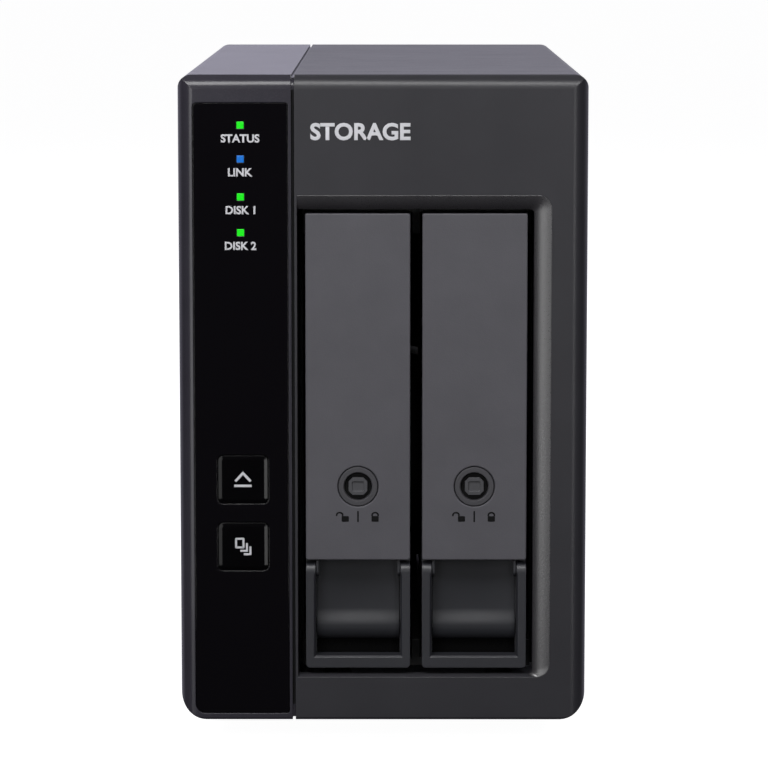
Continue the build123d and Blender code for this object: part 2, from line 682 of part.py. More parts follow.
def main_board():
    body = block(BOARD_X, BOARD_Y, BOARD_Z)
    for y, z in BOARD_POSTS:
        body -= rod_x(BOARD_X, y, z, 1.7)
    return body


def bridge_chip():
    return block((BOARD_X[0] - 1.2, BOARD_X[0]), around(20.0, 18.0), around(90.0, 18.0))


def heat_sink():
    """A finned block on the bridge chip."""
    root = BOARD_X[0] - 1.2
    body = block((root - 2.0, root), around(20.0, 26.0), around(90.0, 26.0))
    for step in range(7):
        z = 90.0 - 12.0 + 4.0 * step
        body += block((root - 9.0, root - 2.0), around(20.0, 26.0), around(z, 1.4))
    return body


def capacitors():
    """Round capacitors near the power jack."""
    spots = [(80.0, 44.0), (80.0, 32.0), (66.0, 38.0)]
    return group([rod_x((BOARD_X[0] - 9.0, BOARD_X[0]), y, z, 4.0) for y, z in spots])


def power_jack():
    """The direct-current socket: square body, round nose and a centre pin."""
    nose_y = (98.0, REAR - 0.5)
    body = block((-41.0, BOARD_X[0]), (90.0, 98.0), around(JACK_Z, 10.0))
    body += rod_y(JACK_X, nose_y, JACK_Z, 4.6)
    body -= rod_y(JACK_X, nose_y, JACK_Z, 3.2)
    return body + rod_y(JACK_X, (98.0, REAR - 2.5), JACK_Z, 1.0)


def usb_c_port():
    """The port: a rounded metal sleeve around a thin tongue."""
    y = (98.0, REAR - 0.4)
    sleeve = plate(rectangle(around(USB_X, 3.2), around(USB_Z, 9.0), (1.55,) * 4), y)
    sleeve -= plate(rectangle(around(USB_X, 2.6), around(USB_Z, 8.4), (1.25,) * 4), y)
    back = block((USB_X - 1.6, BOARD_X[0]), (94.0, 98.0), around(USB_Z, 9.0))
    tongue = block(around(USB_X, 0.7), (98.0, REAR - 1.2), around(USB_Z, 6.6))
    return sleeve + back + tongue


def rear_switches():
    """Bodies of the two mode switches and of the power key's switch."""
    bodies = []
    for z in MODE_Z:
        housing = block((MODE_X - 3.0, BOARD_X[0]), (99.0, 104.5), around(z + 1.0, 8.6))
        track = block(around(MODE_X, 2.6), (102.0, 104.5), around(z + MODE_TRAVEL / 2, 2.2 + MODE_TRAVEL + 0.6))
        bodies.append(housing - track)
    switch = block((POWER_X - 3.0, BOARD_X[0]), (97.0, 100.6), around(POWER_Z, 6.0))
    bodies.append(switch + rod_y(POWER_X, (100.6, 101.6), POWER_Z, 1.7))
    return group(bodies)


def mode_slider(z):
    """A small slide-switch lever that pokes into its slot in the rear panel."""
    return block(around(MODE_X, 2.0), (102.4, REAR - 0.3), around(z, 1.8))


def power_key():
    """The round rear key with its flange and stem."""
    flange_y = (REAR - WALL - 1.0, REAR - WALL - 0.2)
    body = rod_y(POWER_X, (flange_y[0], REAR - 0.2), POWER_Z, POWER_RADIUS)
    body = chamfer(body.faces().sort_by(Axis.Y)[-1].edges(), 0.4)
    body += rod_y(POWER_X, flange_y, POWER_Z, POWER_RADIUS + 1.2)
    return body + rod_y(POWER_X, (101.6 + POWER_TRAVEL + 0.1, flange_y[0]), POWER_Z, 1.5)


def fan_frame():
    """The fan's square frame with its bore, corner holes, motor base and struts."""
    body = plate(rectangle(around(FAN_X, FAN_SIZE), around(FAN_Z, FAN_SIZE), (4.0,) * 4), FAN_Y)
    body -= rod_y(FAN_X, FAN_Y, FAN_Z, FAN_BORE)
    body += rod_y(FAN_X, (FAN_Y[0], FAN_Y[0] + 2.0), FAN_Z, FAN_HUB)
    strut = block((FAN_X, FAN_X + FAN_BORE + 1.0), (FAN_Y[0], FAN_Y[0] + 2.0), around(FAN_Z, 3.0))
    for angle in (0, 90, 180, 270):
        body += Pos(FAN_X, 0, FAN_Z) * Rot(0, angle + 45, 0) * Pos(-FAN_X, 0, -FAN_Z) * strut
    for x, z in fan_corners():
        body -= rod_y(x, FAN_Y, z, 1.9)
    return body - rod_y(FAN_X, FAN_Y, FAN_Z, 1.55)


def fan_rotor():
    """The fan's hub, pitched blades and the shaft that runs in the motor base."""
    hub_y = (FAN_Y[0] + 3.0, FAN_Y[1] - 1.0)
    body = rod_y(0, hub_y, 0, FAN_HUB)
    blade = Pos((FAN_HUB + FAN_BORE - 1.0) / 2 - 0.5, middle(hub_y), 0) * Rot(35, 0, 0) * Box(
        FAN_BORE - FAN_HUB, 1.4, 22.0
    )
    for step in range(BLADE_COUNT):
        body += Rot(0, 360.0 / BLADE_COUNT * step, 0) * blade
    body &= rod_y(0, hub_y, 0, FAN_BORE - 1.0)
    body += rod_y(0, (FAN_Y[0] + 0.2, hub_y[0]), 0, 1.5)
    return Pos(FAN_X, 0, FAN_Z) * body


def fan_screws():
    """Four screws from the rear into the fan's corners."""
    return group([rod_y(x, (FAN_Y[1] - 10.0, REAR), z, 1.85) for x, z in fan_corners()])


def cable(points, radius, bend):
    """A round lead along straight runs joined by tangent arcs."""
    path = FilletPolyline(*points, radius=bend)
    start = Vector(*points[0])
    direction = Vector(*points[1]) - start
    return sweep(Plane(origin=start, z_dir=direction) * Circle(radius), path=path)


def fan_cable():
    """The fan's lead, from its frame to the main board."""
    edge = FAN_X - FAN_SIZE / 2
    points = [(edge, 92.0, 120.0), (-23.0, 92.0, 120.0), (-23.0, 92.0, 136.0), (BOARD_X[1], 92.0, 136.0)]
    return cable(points, 1.2, 3.0)


def front_cable():
    """The lead from the front board to the main board."""
    points = [(-40.0, FRONT_BOARD_Y[1], 96.0), (-40.0, -62.0, 96.0), (BOARD_X[0], -62.0, 96.0)]
    return cable(points, 1.2, 3.8)


def rubber_feet():
    """Four round feet with softened rims."""
    feet = []
    for x, y in FOOT_SPOTS:
        foot = rod_z(x, y, (0, FOOT_HEIGHT), FOOT_RADIUS)
        feet.append(chamfer(foot.faces().sort_by(Axis.Z)[0].edges(), 0.8))
    return group(feet)


def case_screws():
    """Screws from below through the floor's posts into the cage."""
    screws = []
    for x, y in CAGE_POSTS:
        head = rod_z(x, y, (FOOT_HEIGHT + 0.2, FOOT_HEIGHT + 2.0), 3.0)
        screws.append(head + rod_z(x, y, (FOOT_HEIGHT + 2.0, CAGE_Z[0] + CAGE_SHEET + 1.0), 1.15))
    return group(screws)


def board_screws():
    """Screws that hold the main board and the front board to their posts."""
    screws = []
    for y, z in BOARD_POSTS:
        head = rod_x((BOARD_X[1], BOARD_X[1] + 1.6), y, z, 2.8)
        screws.append(head + rod_x((BOARD_X[0] - 4.0, BOARD_X[1]), y, z, 1.15))
    for z in FRONT_POSTS:
        head = rod_y(KEY_X, (FRONT_BOARD_Y[1], FRONT_BOARD_Y[1] + 1.4), z, 2.2)
        screws.append(head + rod_y(KEY_X, (FRONT_BOARD_Y[0] - 2.5, FRONT_BOARD_Y[1]), z, 0.95))
    return group(screws)


def case_nodes():
    """Every node that isn't part of a tray."""
    nodes = {
        "control_panel_housing": control_panel_housing(),
        "lens_panel": lens_panel(),
        "front_board": front_board(),
        "front_leds": front_leds(),
        "key_switches": key_switches(),
        "eject_key": front_key("eject"),
        "copy_key": front_key("copy"),
        "front_bezel": front_bezel(),
        "left_shell": left_shell(),
        "right_shell": right_shell(),
        "rear_fan_panel": rear_fan_panel(),
        "rear_port_panel": rear_port_panel(),
        "drive_cage": drive_cage(),
        "lower_guide": lower_guide(),
        "upper_guide": upper_guide(),
        "backplane_board": backplane_board(),
        "sata_receptacles": sata_receptacles(),
        "edge_socket": edge_socket(),
        "main_board": main_board(),
        "bridge_chip": bridge_chip(),
        "heat_sink": heat_sink(),
        "capacitors": capacitors(),
        "power_jack": power_jack(),
        "usb_c_port": usb_c_port(),
        "rear_switches": rear_switches(),
        "power_key": power_key(),
        "fan_frame": fan_frame(),
        "fan_rotor": fan_rotor(),
        "fan_screws": fan_screws(),
        "fan_cable": fan_cable(),
        "front_cable": front_cable(),
        "rubber_feet": rubber_feet(),
        "case_screws": case_screws(),
        "board_screws": board_screws(),
    }
    for name, z in LIGHT_Z.items():
        nodes[f"{name}_light_pipe"] = light_pipe(z)
    for number, z in enumerate(MODE_Z, start=1):
        nodes[f"mode_slider_{number}"] = mode_slider(z)
    return nodes


def tray_nodes():
    """The pieces of one tray about its own middle, by the end of their name."""
    return {
        "frame": tray_frame(),
        "cover": tray_cover(),
        "handle": tray_handle(),
        "lock_ring": lock_ring(),
        "lock_plug": lock_plug(),
        "lock_cam": lock_cam(),
        "screws": tray_screws(),
        "drive_base": drive_base(),
        "drive_lid": drive_lid(),
        "drive_board": drive_board(),
    }


def main():
    os.makedirs("parts", exist_ok=True)
    nodes = case_nodes()
    pieces = tray_nodes()
    for number, centre in enumerate(TRAY_CENTRES, start=1):
        for piece, shape in pieces.items():
            nodes[f"tray_{number}_{piece}"] = Pos(centre, 0, 0) * shape
    for name, shape in nodes.items():
        export_step(shape, f"parts/{name}.step")


main()
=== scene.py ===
import logging
import math
from dataclasses import dataclass, field
from enum import Enum
from typing import Callable

import bpy
import numpy as np
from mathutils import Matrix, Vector


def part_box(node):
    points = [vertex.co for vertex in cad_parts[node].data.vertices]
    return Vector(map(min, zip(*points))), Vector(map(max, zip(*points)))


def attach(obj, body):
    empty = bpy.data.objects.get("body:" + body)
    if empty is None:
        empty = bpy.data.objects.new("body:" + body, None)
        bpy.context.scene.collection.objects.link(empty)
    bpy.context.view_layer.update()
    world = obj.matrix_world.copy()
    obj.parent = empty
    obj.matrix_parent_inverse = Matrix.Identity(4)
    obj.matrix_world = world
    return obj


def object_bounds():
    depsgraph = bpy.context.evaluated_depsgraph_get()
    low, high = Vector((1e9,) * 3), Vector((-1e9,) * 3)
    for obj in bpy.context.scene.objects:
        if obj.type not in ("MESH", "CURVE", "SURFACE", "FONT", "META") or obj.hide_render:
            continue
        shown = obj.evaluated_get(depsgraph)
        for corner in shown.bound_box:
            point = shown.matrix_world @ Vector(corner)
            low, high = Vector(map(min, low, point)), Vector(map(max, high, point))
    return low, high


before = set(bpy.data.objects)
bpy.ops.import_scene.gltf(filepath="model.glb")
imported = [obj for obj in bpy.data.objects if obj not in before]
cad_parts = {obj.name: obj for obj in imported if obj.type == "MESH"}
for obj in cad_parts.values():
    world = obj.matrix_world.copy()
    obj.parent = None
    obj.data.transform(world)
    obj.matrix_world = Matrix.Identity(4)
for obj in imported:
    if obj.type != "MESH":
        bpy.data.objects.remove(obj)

CAD_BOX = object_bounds()
LOG = logging.getLogger("storage_unit")
MM = 0.001
BACKWARD = np.array([0.0, 1.0, 0.0])
TRAYS = (1, 2)
Colour = tuple[float, float, float]
Point = tuple[float, float, float]
Piece = bpy.types.Object
Socket = bpy.types.NodeSocket


class Effect(Enum):
    """The shared shader effects, by the name of their node group."""

    EDGE = "edge_softening"
    GRAIN = "moulded_grain"
    SMUDGE = "handling_marks"
    DUST = "settled_dust"


class Printing(Enum):
    """The inks used for symbols and lettering, and the paper of a label; the dark ink also paints shade in the groove
    and the lock wells.
    """

    LIGHT = "light_ink"
    DARK = "dark_ink"
    PAPER = "label_paper"


class Facing(Enum):
    """The way a printed face looks: its across direction and its outward direction."""

    FRONT = ((1.0, 0.0, 0.0), (0.0, -1.0, 0.0))
    REAR = ((-1.0, 0.0, 0.0), (0.0, 1.0, 0.0))
    RIGHT = ((0.0, 1.0, 0.0), (1.0, 0.0, 0.0))


def linear(colour: Colour) -> tuple[float, float, float, float]:
    """Turn a display colour into a linear one.

    Args:
        colour: Red, green and blue as shown on a display, 0 to 1.

    Returns:
        The linear colour with full opacity.
    """
    values = np.asarray(colour, float)
    low = values / 12.92
    high = ((values + 0.055) / 1.055) ** 2.4
    return (*np.where(values <= 0.04045, low, high).tolist(), 1.0)


@dataclass
class NodeBuilder:
    """Adds nodes to a tree and wires them."""

    tree: bpy.types.NodeTree

    def add(self, kind: str, **settings: object) -> bpy.types.Node:
        """Add a node.

        Args:
            kind: The node's type, without its ShaderNode prefix.
            settings: Attributes to set on the node.

        Returns:
            The new node.
        """
        node = self.tree.nodes.new("ShaderNode" + kind)
        for name, value in settings.items():
            setattr(node, name, value)
        return node

    def feed(self, socket: Socket, value: object) -> None:
        """Link a socket to an output, or set it to a plain value."""
        if isinstance(value, Socket):
            self.tree.links.new(value, socket)
        else:
            socket.default_value = value

    def math(self, operation: str, first: object, second: object = 0.0, clamp: bool = False) -> Socket:
        """Add a Math node.

        Args:
            operation: The node's operation.
            first: The first operand, a socket or a number.
            second: The second operand, a socket or a number.
            clamp: Whether the result is held between 0 and 1.

        Returns:
            The node's output.
        """
        node = self.add("Math", operation=operation, use_clamp=clamp)
        self.feed(node.inputs[0], first)
        self.feed(node.inputs[1], second)
        return node.outputs[0]

    def remap(self, value: object, low: float, high: float, to_low: object, to_high: object) -> Socket:
        """Map a value from one range to another, held at its ends.

        Args:
            value: The value to map.
            low: Start of the incoming range.
            high: End of the incoming range.
            to_low: Result at the start.
            to_high: Result at the end.

        Returns:
            The mapped value.
        """
        node = self.add("MapRange", clamp=True)
        for socket, entry in zip(node.inputs, (value, low, high, to_low, to_high)):
            self.feed(socket, entry)
        return node.outputs[0]

    def mix(self, factor: object, first: object, second: object) -> Socket:
        """Blend two colours.

        Args:
            factor: 0 for the first colour and 1 for the second.
            first: The first colour.
            second: The second colour.

        Returns:
            The blended colour.
        """
        node = self.add("Mix", data_type="RGBA")
        self.feed(node.inputs["Factor"], factor)
        self.feed(node.inputs[6], first)
        self.feed(node.inputs[7], second)
        return node.outputs[2]

    def noise(self, vector: object, scale: object, detail: float, roughness: float = 0.5) -> Socket:
        """Add a noise texture.

        Args:
            vector: Where the noise is read.
            scale: Cycles of noise per metre.
            detail: Number of finer octaves.
            roughness: Strength of each finer octave.

        Returns:
            The noise value, about 0 to 1.
        """
        node = self.add("TexNoise")
        self.feed(node.inputs["Vector"], vector)
        self.feed(node.inputs["Scale"], scale)
        self.feed(node.inputs["Detail"], detail)
        self.feed(node.inputs["Roughness"], roughness)
        return node.outputs[0]

    def place(self) -> Socket:
        """Return the object coordinates' output."""
        return self.add("TexCoord").outputs["Object"]


@dataclass
class EffectLibrary:
    """Builds each shared node group once."""

    groups: dict[Effect, bpy.types.NodeTree] = field(default_factory=dict)
    breakup_scale: float = 900.0
    coarse_ratio: float = 0.23
    wipe_turn: tuple[float, float, float] = (0.3, 0.5, 0.4)
    wipe_stretch: tuple[float, float, float] = (1.0, 1.0, 0.16)
    wipe_ratio: float = 4.0
    speck_scale: float = 2600.0
    drift_scale: float = 22.0

    def start(
        self, effect: Effect, inputs: dict[str, tuple[str, float]], outputs: dict[str, str]
    ) -> tuple[NodeBuilder, bpy.types.NodeOutputs, bpy.types.NodeInputs]:
        """Open a node group with named sockets.

        Args:
            effect: The effect that the group makes.
            inputs: Socket kind and default value by name.
            outputs: Socket kind by name.

        Returns:
            A builder, the group's incoming sockets and its outgoing sockets.
        """
        tree = bpy.data.node_groups.new(effect.value, "ShaderNodeTree")
        for name, (kind, value) in inputs.items():
            socket = tree.interface.new_socket(name, in_out="INPUT", socket_type="NodeSocket" + kind)
            if kind == "Float":
                socket.default_value = value
        for name, kind in outputs.items():
            tree.interface.new_socket(name, in_out="OUTPUT", socket_type="NodeSocket" + kind)
        self.groups[effect] = tree
        source = tree.nodes.new("NodeGroupInput")
        sink = tree.nodes.new("NodeGroupOutput")
        return NodeBuilder(tree), source.outputs, sink.inputs

    def build_edge(self) -> None:
        """Edge softening: the rounded normal near an edge, and a mask of how far it turns from the flat one."""
        build, given, made = self.start(
            Effect.EDGE, {"Radius": ("Float", 0.0003), "Gain": ("Float", 4.0)}, {"Mask": "Float", "Normal": "Vector"}
        )
        bevel = build.add("Bevel", samples=6)
        build.feed(bevel.inputs["Radius"], given["Radius"])
        geometry = build.add("NewGeometry")
        dot = build.add("VectorMath", operation="DOT_PRODUCT")
        build.feed(dot.inputs[0], bevel.outputs[0])
        build.feed(dot.inputs[1], geometry.outputs["Normal"])
        turned = build.math("SUBTRACT", 1.0, dot.outputs["Value"])
        worn = build.math("MULTIPLY", turned, given["Gain"], clamp=True)
        breakup = build.remap(build.noise(build.place(), self.breakup_scale, 3.0), 0.35, 0.65, 0.35, 1.0)
        build.feed(made["Mask"], build.math("MULTIPLY", worn, breakup))
        build.feed(made["Normal"], bevel.outputs[0])

    def build_grain(self) -> None:
        """Moulded grain: two sizes of fine pits, as a height and as a value for the roughness."""
        build, given, made = self.start(
            Effect.GRAIN, {"Scale": ("Float", 4000.0), "Coarse": ("Float", 0.3)},
            {"Height": "Float", "Speckle": "Float"}
        )
        place = build.place()
        fine = build.noise(place, given["Scale"], 2.0, 0.6)
        wide = build.noise(place, build.math("MULTIPLY", given["Scale"], self.coarse_ratio), 2.0)
        mixed = build.add("Mix")
        build.feed(mixed.inputs["Factor"], given["Coarse"])
        build.feed(mixed.inputs["A"], fine)
        build.feed(mixed.inputs["B"], wide)
        build.feed(made["Height"], mixed.outputs[0])
        build.feed(made["Speckle"], build.remap(fine, 0.3, 0.7, -1.0, 1.0))

    def build_smudge(self) -> None:
        """Handling marks: broad soft patches with long faint wipes across them, from -1 to 1."""
        build, given, made = self.start(Effect.SMUDGE, {"Scale": ("Float", 30.0)}, {"Value": "Float"})
        place = build.place()
        stretch = build.add("Mapping")
        build.feed(stretch.inputs["Vector"], place)
        stretch.inputs["Rotation"].default_value = self.wipe_turn
        stretch.inputs["Scale"].default_value = self.wipe_stretch
        patches = build.noise(place, given["Scale"], 4.0)
        wipes = build.noise(stretch.outputs[0], build.math("MULTIPLY", given["Scale"], self.wipe_ratio), 2.0)
        total = build.math("ADD", patches, wipes)
        build.feed(made["Value"], build.remap(total, 0.6, 1.4, -1.0, 1.0))

    def build_dust(self) -> None:
        """Settled dust: a speckled mask on faces that look up."""
        build, given, made = self.start(Effect.DUST, {"Amount": ("Float", 0.1)}, {"Mask": "Float"})
        axes = build.add("SeparateXYZ")
        build.feed(axes.inputs[0], build.add("NewGeometry").outputs["Normal"])
        upward = build.remap(axes.outputs["Z"], 0.6, 1.0, 0.0, 1.0)
        specks = build.remap(build.noise(build.place(), self.speck_scale, 5.0, 0.7), 0.45, 0.75, 0.0, 1.0)
        drift = build.remap(build.noise(build.place(), self.drift_scale, 3.0), 0.3, 0.75, 0.3, 1.0)
        build.feed(made["Mask"], build.math("MULTIPLY", build.math("MULTIPLY", upward, specks),
                                            build.math("MULTIPLY", drift, given["Amount"])))

    def build_all(self) -> None:
        """Build every effect."""
        self.build_edge()
        self.build_grain()
        self.build_smudge()
        self.build_dust()

    def place(self, build: NodeBuilder, effect: Effect, **values: object) -> bpy.types.NodeOutputs:
        """Put an effect into a material.

        Args:
            build: The material's builder.
            effect: The effect to place.
            values: Values or sockets for the group's inputs.

        Returns:
            The group node's outputs.
        """
        node = build.add("Group", node_tree=self.groups[effect])
        for name, value in values.items():
            build.feed(node.inputs[name], value)
        return node.outputs


EFFECTS = EffectLibrary()


@dataclass(frozen=True)
class Finish:
    """A moulded, cast or painted finish, made of its colour, the wear that it shows and a painted highlight along its
    edges.
    """

    name: str
    colour: Colour
    roughness: float = 0.5
    metallic: float = 0.0
    specular: float = 0.5
    coat: float = 0.0
    grain_scale: float = 5000.0
    grain_depth: float = 0.00002
    speckle: float = 0.04
    mottle: float = 0.08
    edge_radius: float = 0.0003
    edge_light: float = 0.25
    smudge: float = 0.02
    dust: float = 0.03
    cloud_scale: float = 55.0
    edge_wear_and_highlight_gain: float = 1.6
    edge_wear_and_highlight_lift: float = 0.02
    coat_roughness: float = 0.03
    dust_colour: tuple[float, float, float, float] = (0.42, 0.41, 0.40, 1.0)

    def tint(self, build: NodeBuilder, edge: Socket) -> Socket:
        """Work out the colour over the surface.

        Args:
            build: The material's builder.
            edge: The edge mask.

        Returns:
            The colour's socket.
        """
        base = linear(self.colour)
        darker = tuple(channel * (1.0 - self.mottle) for channel in base[:3]) + (1.0,)
        lighter = tuple(min(1.0, channel * (1.0 + self.mottle)) for channel in base[:3]) + (1.0,)
        cloud = build.remap(build.noise(build.place(), self.cloud_scale, 5.0, 0.6), 0.3, 0.7, 0.0, 1.0)
        body = build.mix(cloud, darker, lighter)
        # Edges are mixed toward a lighter colour by edge_light: partly edge wear, partly a painted highlight along rims
        # and chamfers.
        worn_and_highlit_edge = tuple(min(1.0, channel * self.edge_wear_and_highlight_gain + self.edge_wear_and_highlight_lift) for channel in base[:3]) + (1.0,)
        body = build.mix(build.math("MULTIPLY", edge, self.edge_light), body, worn_and_highlit_edge)
        dust = EFFECTS.place(build, Effect.DUST, Amount=self.dust)["Mask"]
        return build.mix(dust, body, self.dust_colour)

    def relief(self, build: NodeBuilder, soft: Socket,
               grain: Socket) -> Socket:
        """Work out the surface's normal.

        Args:
            build: The material's builder.
            soft: The softened normal.
            grain: The grain's height.

        Returns:
            The normal's socket.
        """
        bump = build.add("Bump")
        bump.inputs["Distance"].default_value = self.grain_depth
        bump.inputs["Strength"].default_value = 1.0
        build.feed(bump.inputs["Height"], grain)
        build.feed(bump.inputs["Normal"], soft)
        return bump.outputs[0]

    def detail(self, build: NodeBuilder, shader: bpy.types.Node) -> None:
        """Add what a special finish has beyond the common layers."""

    def material(self) -> bpy.types.Material:
        """Build the material, or return it if it exists."""
        found = bpy.data.materials.get(self.name)
        if found:
            return found
        material = bpy.data.materials.new(self.name)
        material.use_nodes = True
        material.node_tree.nodes.clear()
        build = NodeBuilder(material.node_tree)
        shader = build.add("BsdfPrincipled")
        edge = EFFECTS.place(build, Effect.EDGE, Radius=self.edge_radius)
        grain = EFFECTS.place(build, Effect.GRAIN, Scale=self.grain_scale)
        smudge = EFFECTS.place(build, Effect.SMUDGE)["Value"]
        build.feed(shader.inputs["Base Color"], self.tint(build, edge["Mask"]))
        rough = build.math("MULTIPLY", grain["Speckle"], self.speckle)
        rough = build.math("ADD", rough, build.math("MULTIPLY", smudge, self.smudge))
        build.feed(shader.inputs["Roughness"], build.math("ADD", rough, self.roughness, clamp=True))
        build.feed(shader.inputs["Normal"], self.relief(build, edge["Normal"], grain["Height"]))
        shader.inputs["Metallic"].default_value = self.metallic
        shader.inputs["Specular IOR Level"].default_value = self.specular
        shader.inputs["Coat Weight"].default_value = self.coat
        shader.inputs["Coat Roughness"].default_value = self.coat_roughness
        self.detail(build, shader)
        output = build.add("OutputMaterial")
        build.feed(output.inputs["Surface"], shader.outputs[0])
        return material


@dataclass(frozen=True)
class LitFinish(Finish):
    """A frosted light pipe with its lamp on."""

    lamp: Colour = (1.0, 1.0, 1.0)
    glow: float = 1.0
    frost_scale: float = 2200.0
    frost_dim: float = 0.7

    def detail(self, build: NodeBuilder, shader: bpy.types.Node) -> None:
        """Give off light, mottled a little as through a frosted tip."""
        cloud = build.remap(build.noise(build.place(), self.frost_scale, 2.0), 0.3, 0.7, 0.75, 1.0)
        colour = linear(self.lamp)
        dim = tuple(channel * self.frost_dim for channel in colour[:3]) + (1.0,)
        build.feed(shader.inputs["Emission Color"], build.mix(cloud, dim, colour))
        shader.inputs["Emission Strength"].default_value = self.glow


@dataclass(frozen=True)
class BrushedFinish(Finish):
    """Rolled or brushed metal with fine parallel scratches along the depth."""

    scratch_scale: float = 5000.0
    scratch_stretch: tuple[float, float, float] = (1.0, 0.03, 1.0)
    grain_share: float = 0.3

    def relief(self, build: NodeBuilder, soft: Socket,
               grain: Socket) -> Socket:
        """Work out the normal from long thin scratches.

        Args:
            build: The material's builder.
            soft: The softened normal.
            grain: The grain's height.

        Returns:
            The normal's socket.
        """
        stretch = build.add("Mapping")
        build.feed(stretch.inputs["Vector"], build.place())
        stretch.inputs["Scale"].default_value = self.scratch_stretch
        lines = build.noise(stretch.outputs[0], self.scratch_scale, 3.0)
        height = build.math("ADD", lines, build.math("MULTIPLY", grain, self.grain_share))
        return Finish.relief(self, build, soft, height)


class Palette:
    """Every finish of the unit, named for what it covers."""

    COLUMN = Finish("column_satin_plastic", (0.2, 0.193, 0.222), roughness=0.24, specular=0.4, coat=0.04,
                    grain_scale=7000.0, grain_depth=0.000002, edge_light=0.15)
    CASE = Finish("case_matte_plastic", (0.183, 0.181, 0.198), roughness=0.36, specular=0.4, grain_scale=4200.0,
                  grain_depth=0.000008)
    BEVEL = Finish("bevel_satin_plastic", (0.183, 0.178, 0.19), roughness=0.3, specular=1.0, grain_scale=4200.0,
                   grain_depth=0.000006, edge_light=0.1)
    SCOOP = Finish("scoop_matte_plastic", (0.15, 0.153, 0.17), roughness=0.5, specular=0.3, edge_light=0.0)
    LENS = Finish("lens_gloss_black", (0.03, 0.024, 0.036), roughness=0.06, coat=0.2, grain_depth=0.0000005,
                  speckle=0.01, mottle=0.05, smudge=0.03, edge_light=0.15, dust=0.02)
    # High edge_light here paints a highlight along the keys' rims.
    KEY = Finish("key_gloss_black", (0.022, 0.02, 0.026), roughness=0.14, specular=0.14, grain_depth=0.0000005,
                 speckle=0.01, smudge=0.04, edge_light=0.6, edge_radius=0.0002, dust=0.02)
    COVER = Finish("tray_cover_textured", (0.325, 0.321, 0.343), roughness=0.52, specular=0.35, grain_scale=3300.0,
                   grain_depth=0.000045, speckle=0.06, edge_light=0.25)
    POCKET_SHADE = Finish("pocket_shade_black", (0.012, 0.012, 0.014), roughness=0.95, specular=0.1, edge_light=0.0, dust=0.0)
    RING = Finish("lock_ring_plastic", (0.27, 0.267, 0.282), roughness=0.55, specular=0.3, edge_light=0.1)
    TRAY = Finish("tray_frame_plastic", (0.16, 0.163, 0.18), roughness=0.42, grain_scale=5200.0, grain_depth=0.00001)
    # High edge_light on the handle and lock plug paints highlight lines along their chamfers and rims.
    HANDLE = Finish("tray_handle_plastic", (0.165, 0.167, 0.187), roughness=0.4, grain_scale=5200.0,
                    grain_depth=0.00001, edge_light=0.5)
    LOCK = Finish("lock_plug_plastic", (0.26, 0.26, 0.275), roughness=0.45, edge_light=0.7, edge_radius=0.0002)
    BLACK = Finish("black_plastic", (0.075, 0.075, 0.08), roughness=0.55)
    GUIDE = Finish("guide_black_plastic", (0.05, 0.05, 0.054), roughness=0.5)
    WHITE = Finish("white_plastic", (0.82, 0.82, 0.8), roughness=0.4, mottle=0.03)
    SHEET = Finish("black_painted_sheet", (0.06, 0.06, 0.065), roughness=0.5, specular=0.4, grain_scale=2500.0,
                   grain_depth=0.00002)
    STEEL = BrushedFinish("bright_steel", (0.62, 0.62, 0.63), roughness=0.3, metallic=1.0, edge_light=0.3)
    CAST = Finish("cast_aluminium", (0.5, 0.505, 0.51), roughness=0.5, metallic=1.0, grain_scale=2200.0,
                  grain_depth=0.00005)
    SINK = BrushedFinish("sink_aluminium", (0.45, 0.455, 0.47), roughness=0.38, metallic=1.0)
    BOARD = Finish("circuit_board_green", (0.05, 0.25, 0.13), roughness=0.35, mottle=0.12, coat=0.2)
    RUBBER = Finish("foot_rubber", (0.1, 0.1, 0.1), roughness=0.8, specular=0.3, grain_scale=2500.0)
    LEAD = Finish("lead_sleeve", (0.09, 0.09, 0.095), roughness=0.45)
    GREEN = LitFinish("green_lamp", (0.03, 0.25, 0.04), lamp=(0.02, 0.88, 0.03), roughness=0.25, glow=1.1,
                      edge_light=0.0)
    BLUE = LitFinish("blue_lamp", (0.03, 0.14, 0.27), lamp=(0.02, 0.47, 0.88), roughness=0.25, glow=0.78,
                     edge_light=0.0)
    LIGHT_INK = Finish(Printing.LIGHT.value, (0.83, 0.83, 0.85), roughness=0.5, mottle=0.03, edge_light=0.0, dust=0.0)
    DARK_INK = Finish(Printing.DARK.value, (0.02, 0.02, 0.026), roughness=0.65, specular=0.2, mottle=0.03,
                      edge_light=0.0, dust=0.0)
    PAPER = Finish(Printing.PAPER.value, (0.78, 0.78, 0.76), roughness=0.6, mottle=0.03, edge_light=0.0)


def dress(finish: Finish, *nodes: str) -> None:
    """Give CAD nodes a finish.

    Args:
        finish: The finish to use.
        nodes: Names of the nodes.
    """
    for name in nodes:
        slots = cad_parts[name].data.materials
        slots.clear()
        slots.append(finish.material())


def mesh_piece(name: str, points: np.ndarray, faces: list[tuple[int, ...]] | np.ndarray, finish: Finish,
               body: str) -> Piece:
    """Make a piece from points and faces.

    Args:
        name: The piece's name.
        points: Positions in metres, one row each.
        faces: Corner indices of each face.
        finish: The piece's finish.
        body: The body that it rides on.

    Returns:
        The new object.
    """
    mesh = bpy.data.meshes.new(name)
    mesh.from_pydata(np.asarray(points, float).tolist(), [], [tuple(map(int, face)) for face in faces])
    mesh.validate()
    piece = bpy.data.objects.new(name, mesh)
    bpy.context.scene.collection.objects.link(piece)
    mesh.materials.append(finish.material())
    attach(piece, body)
    return piece


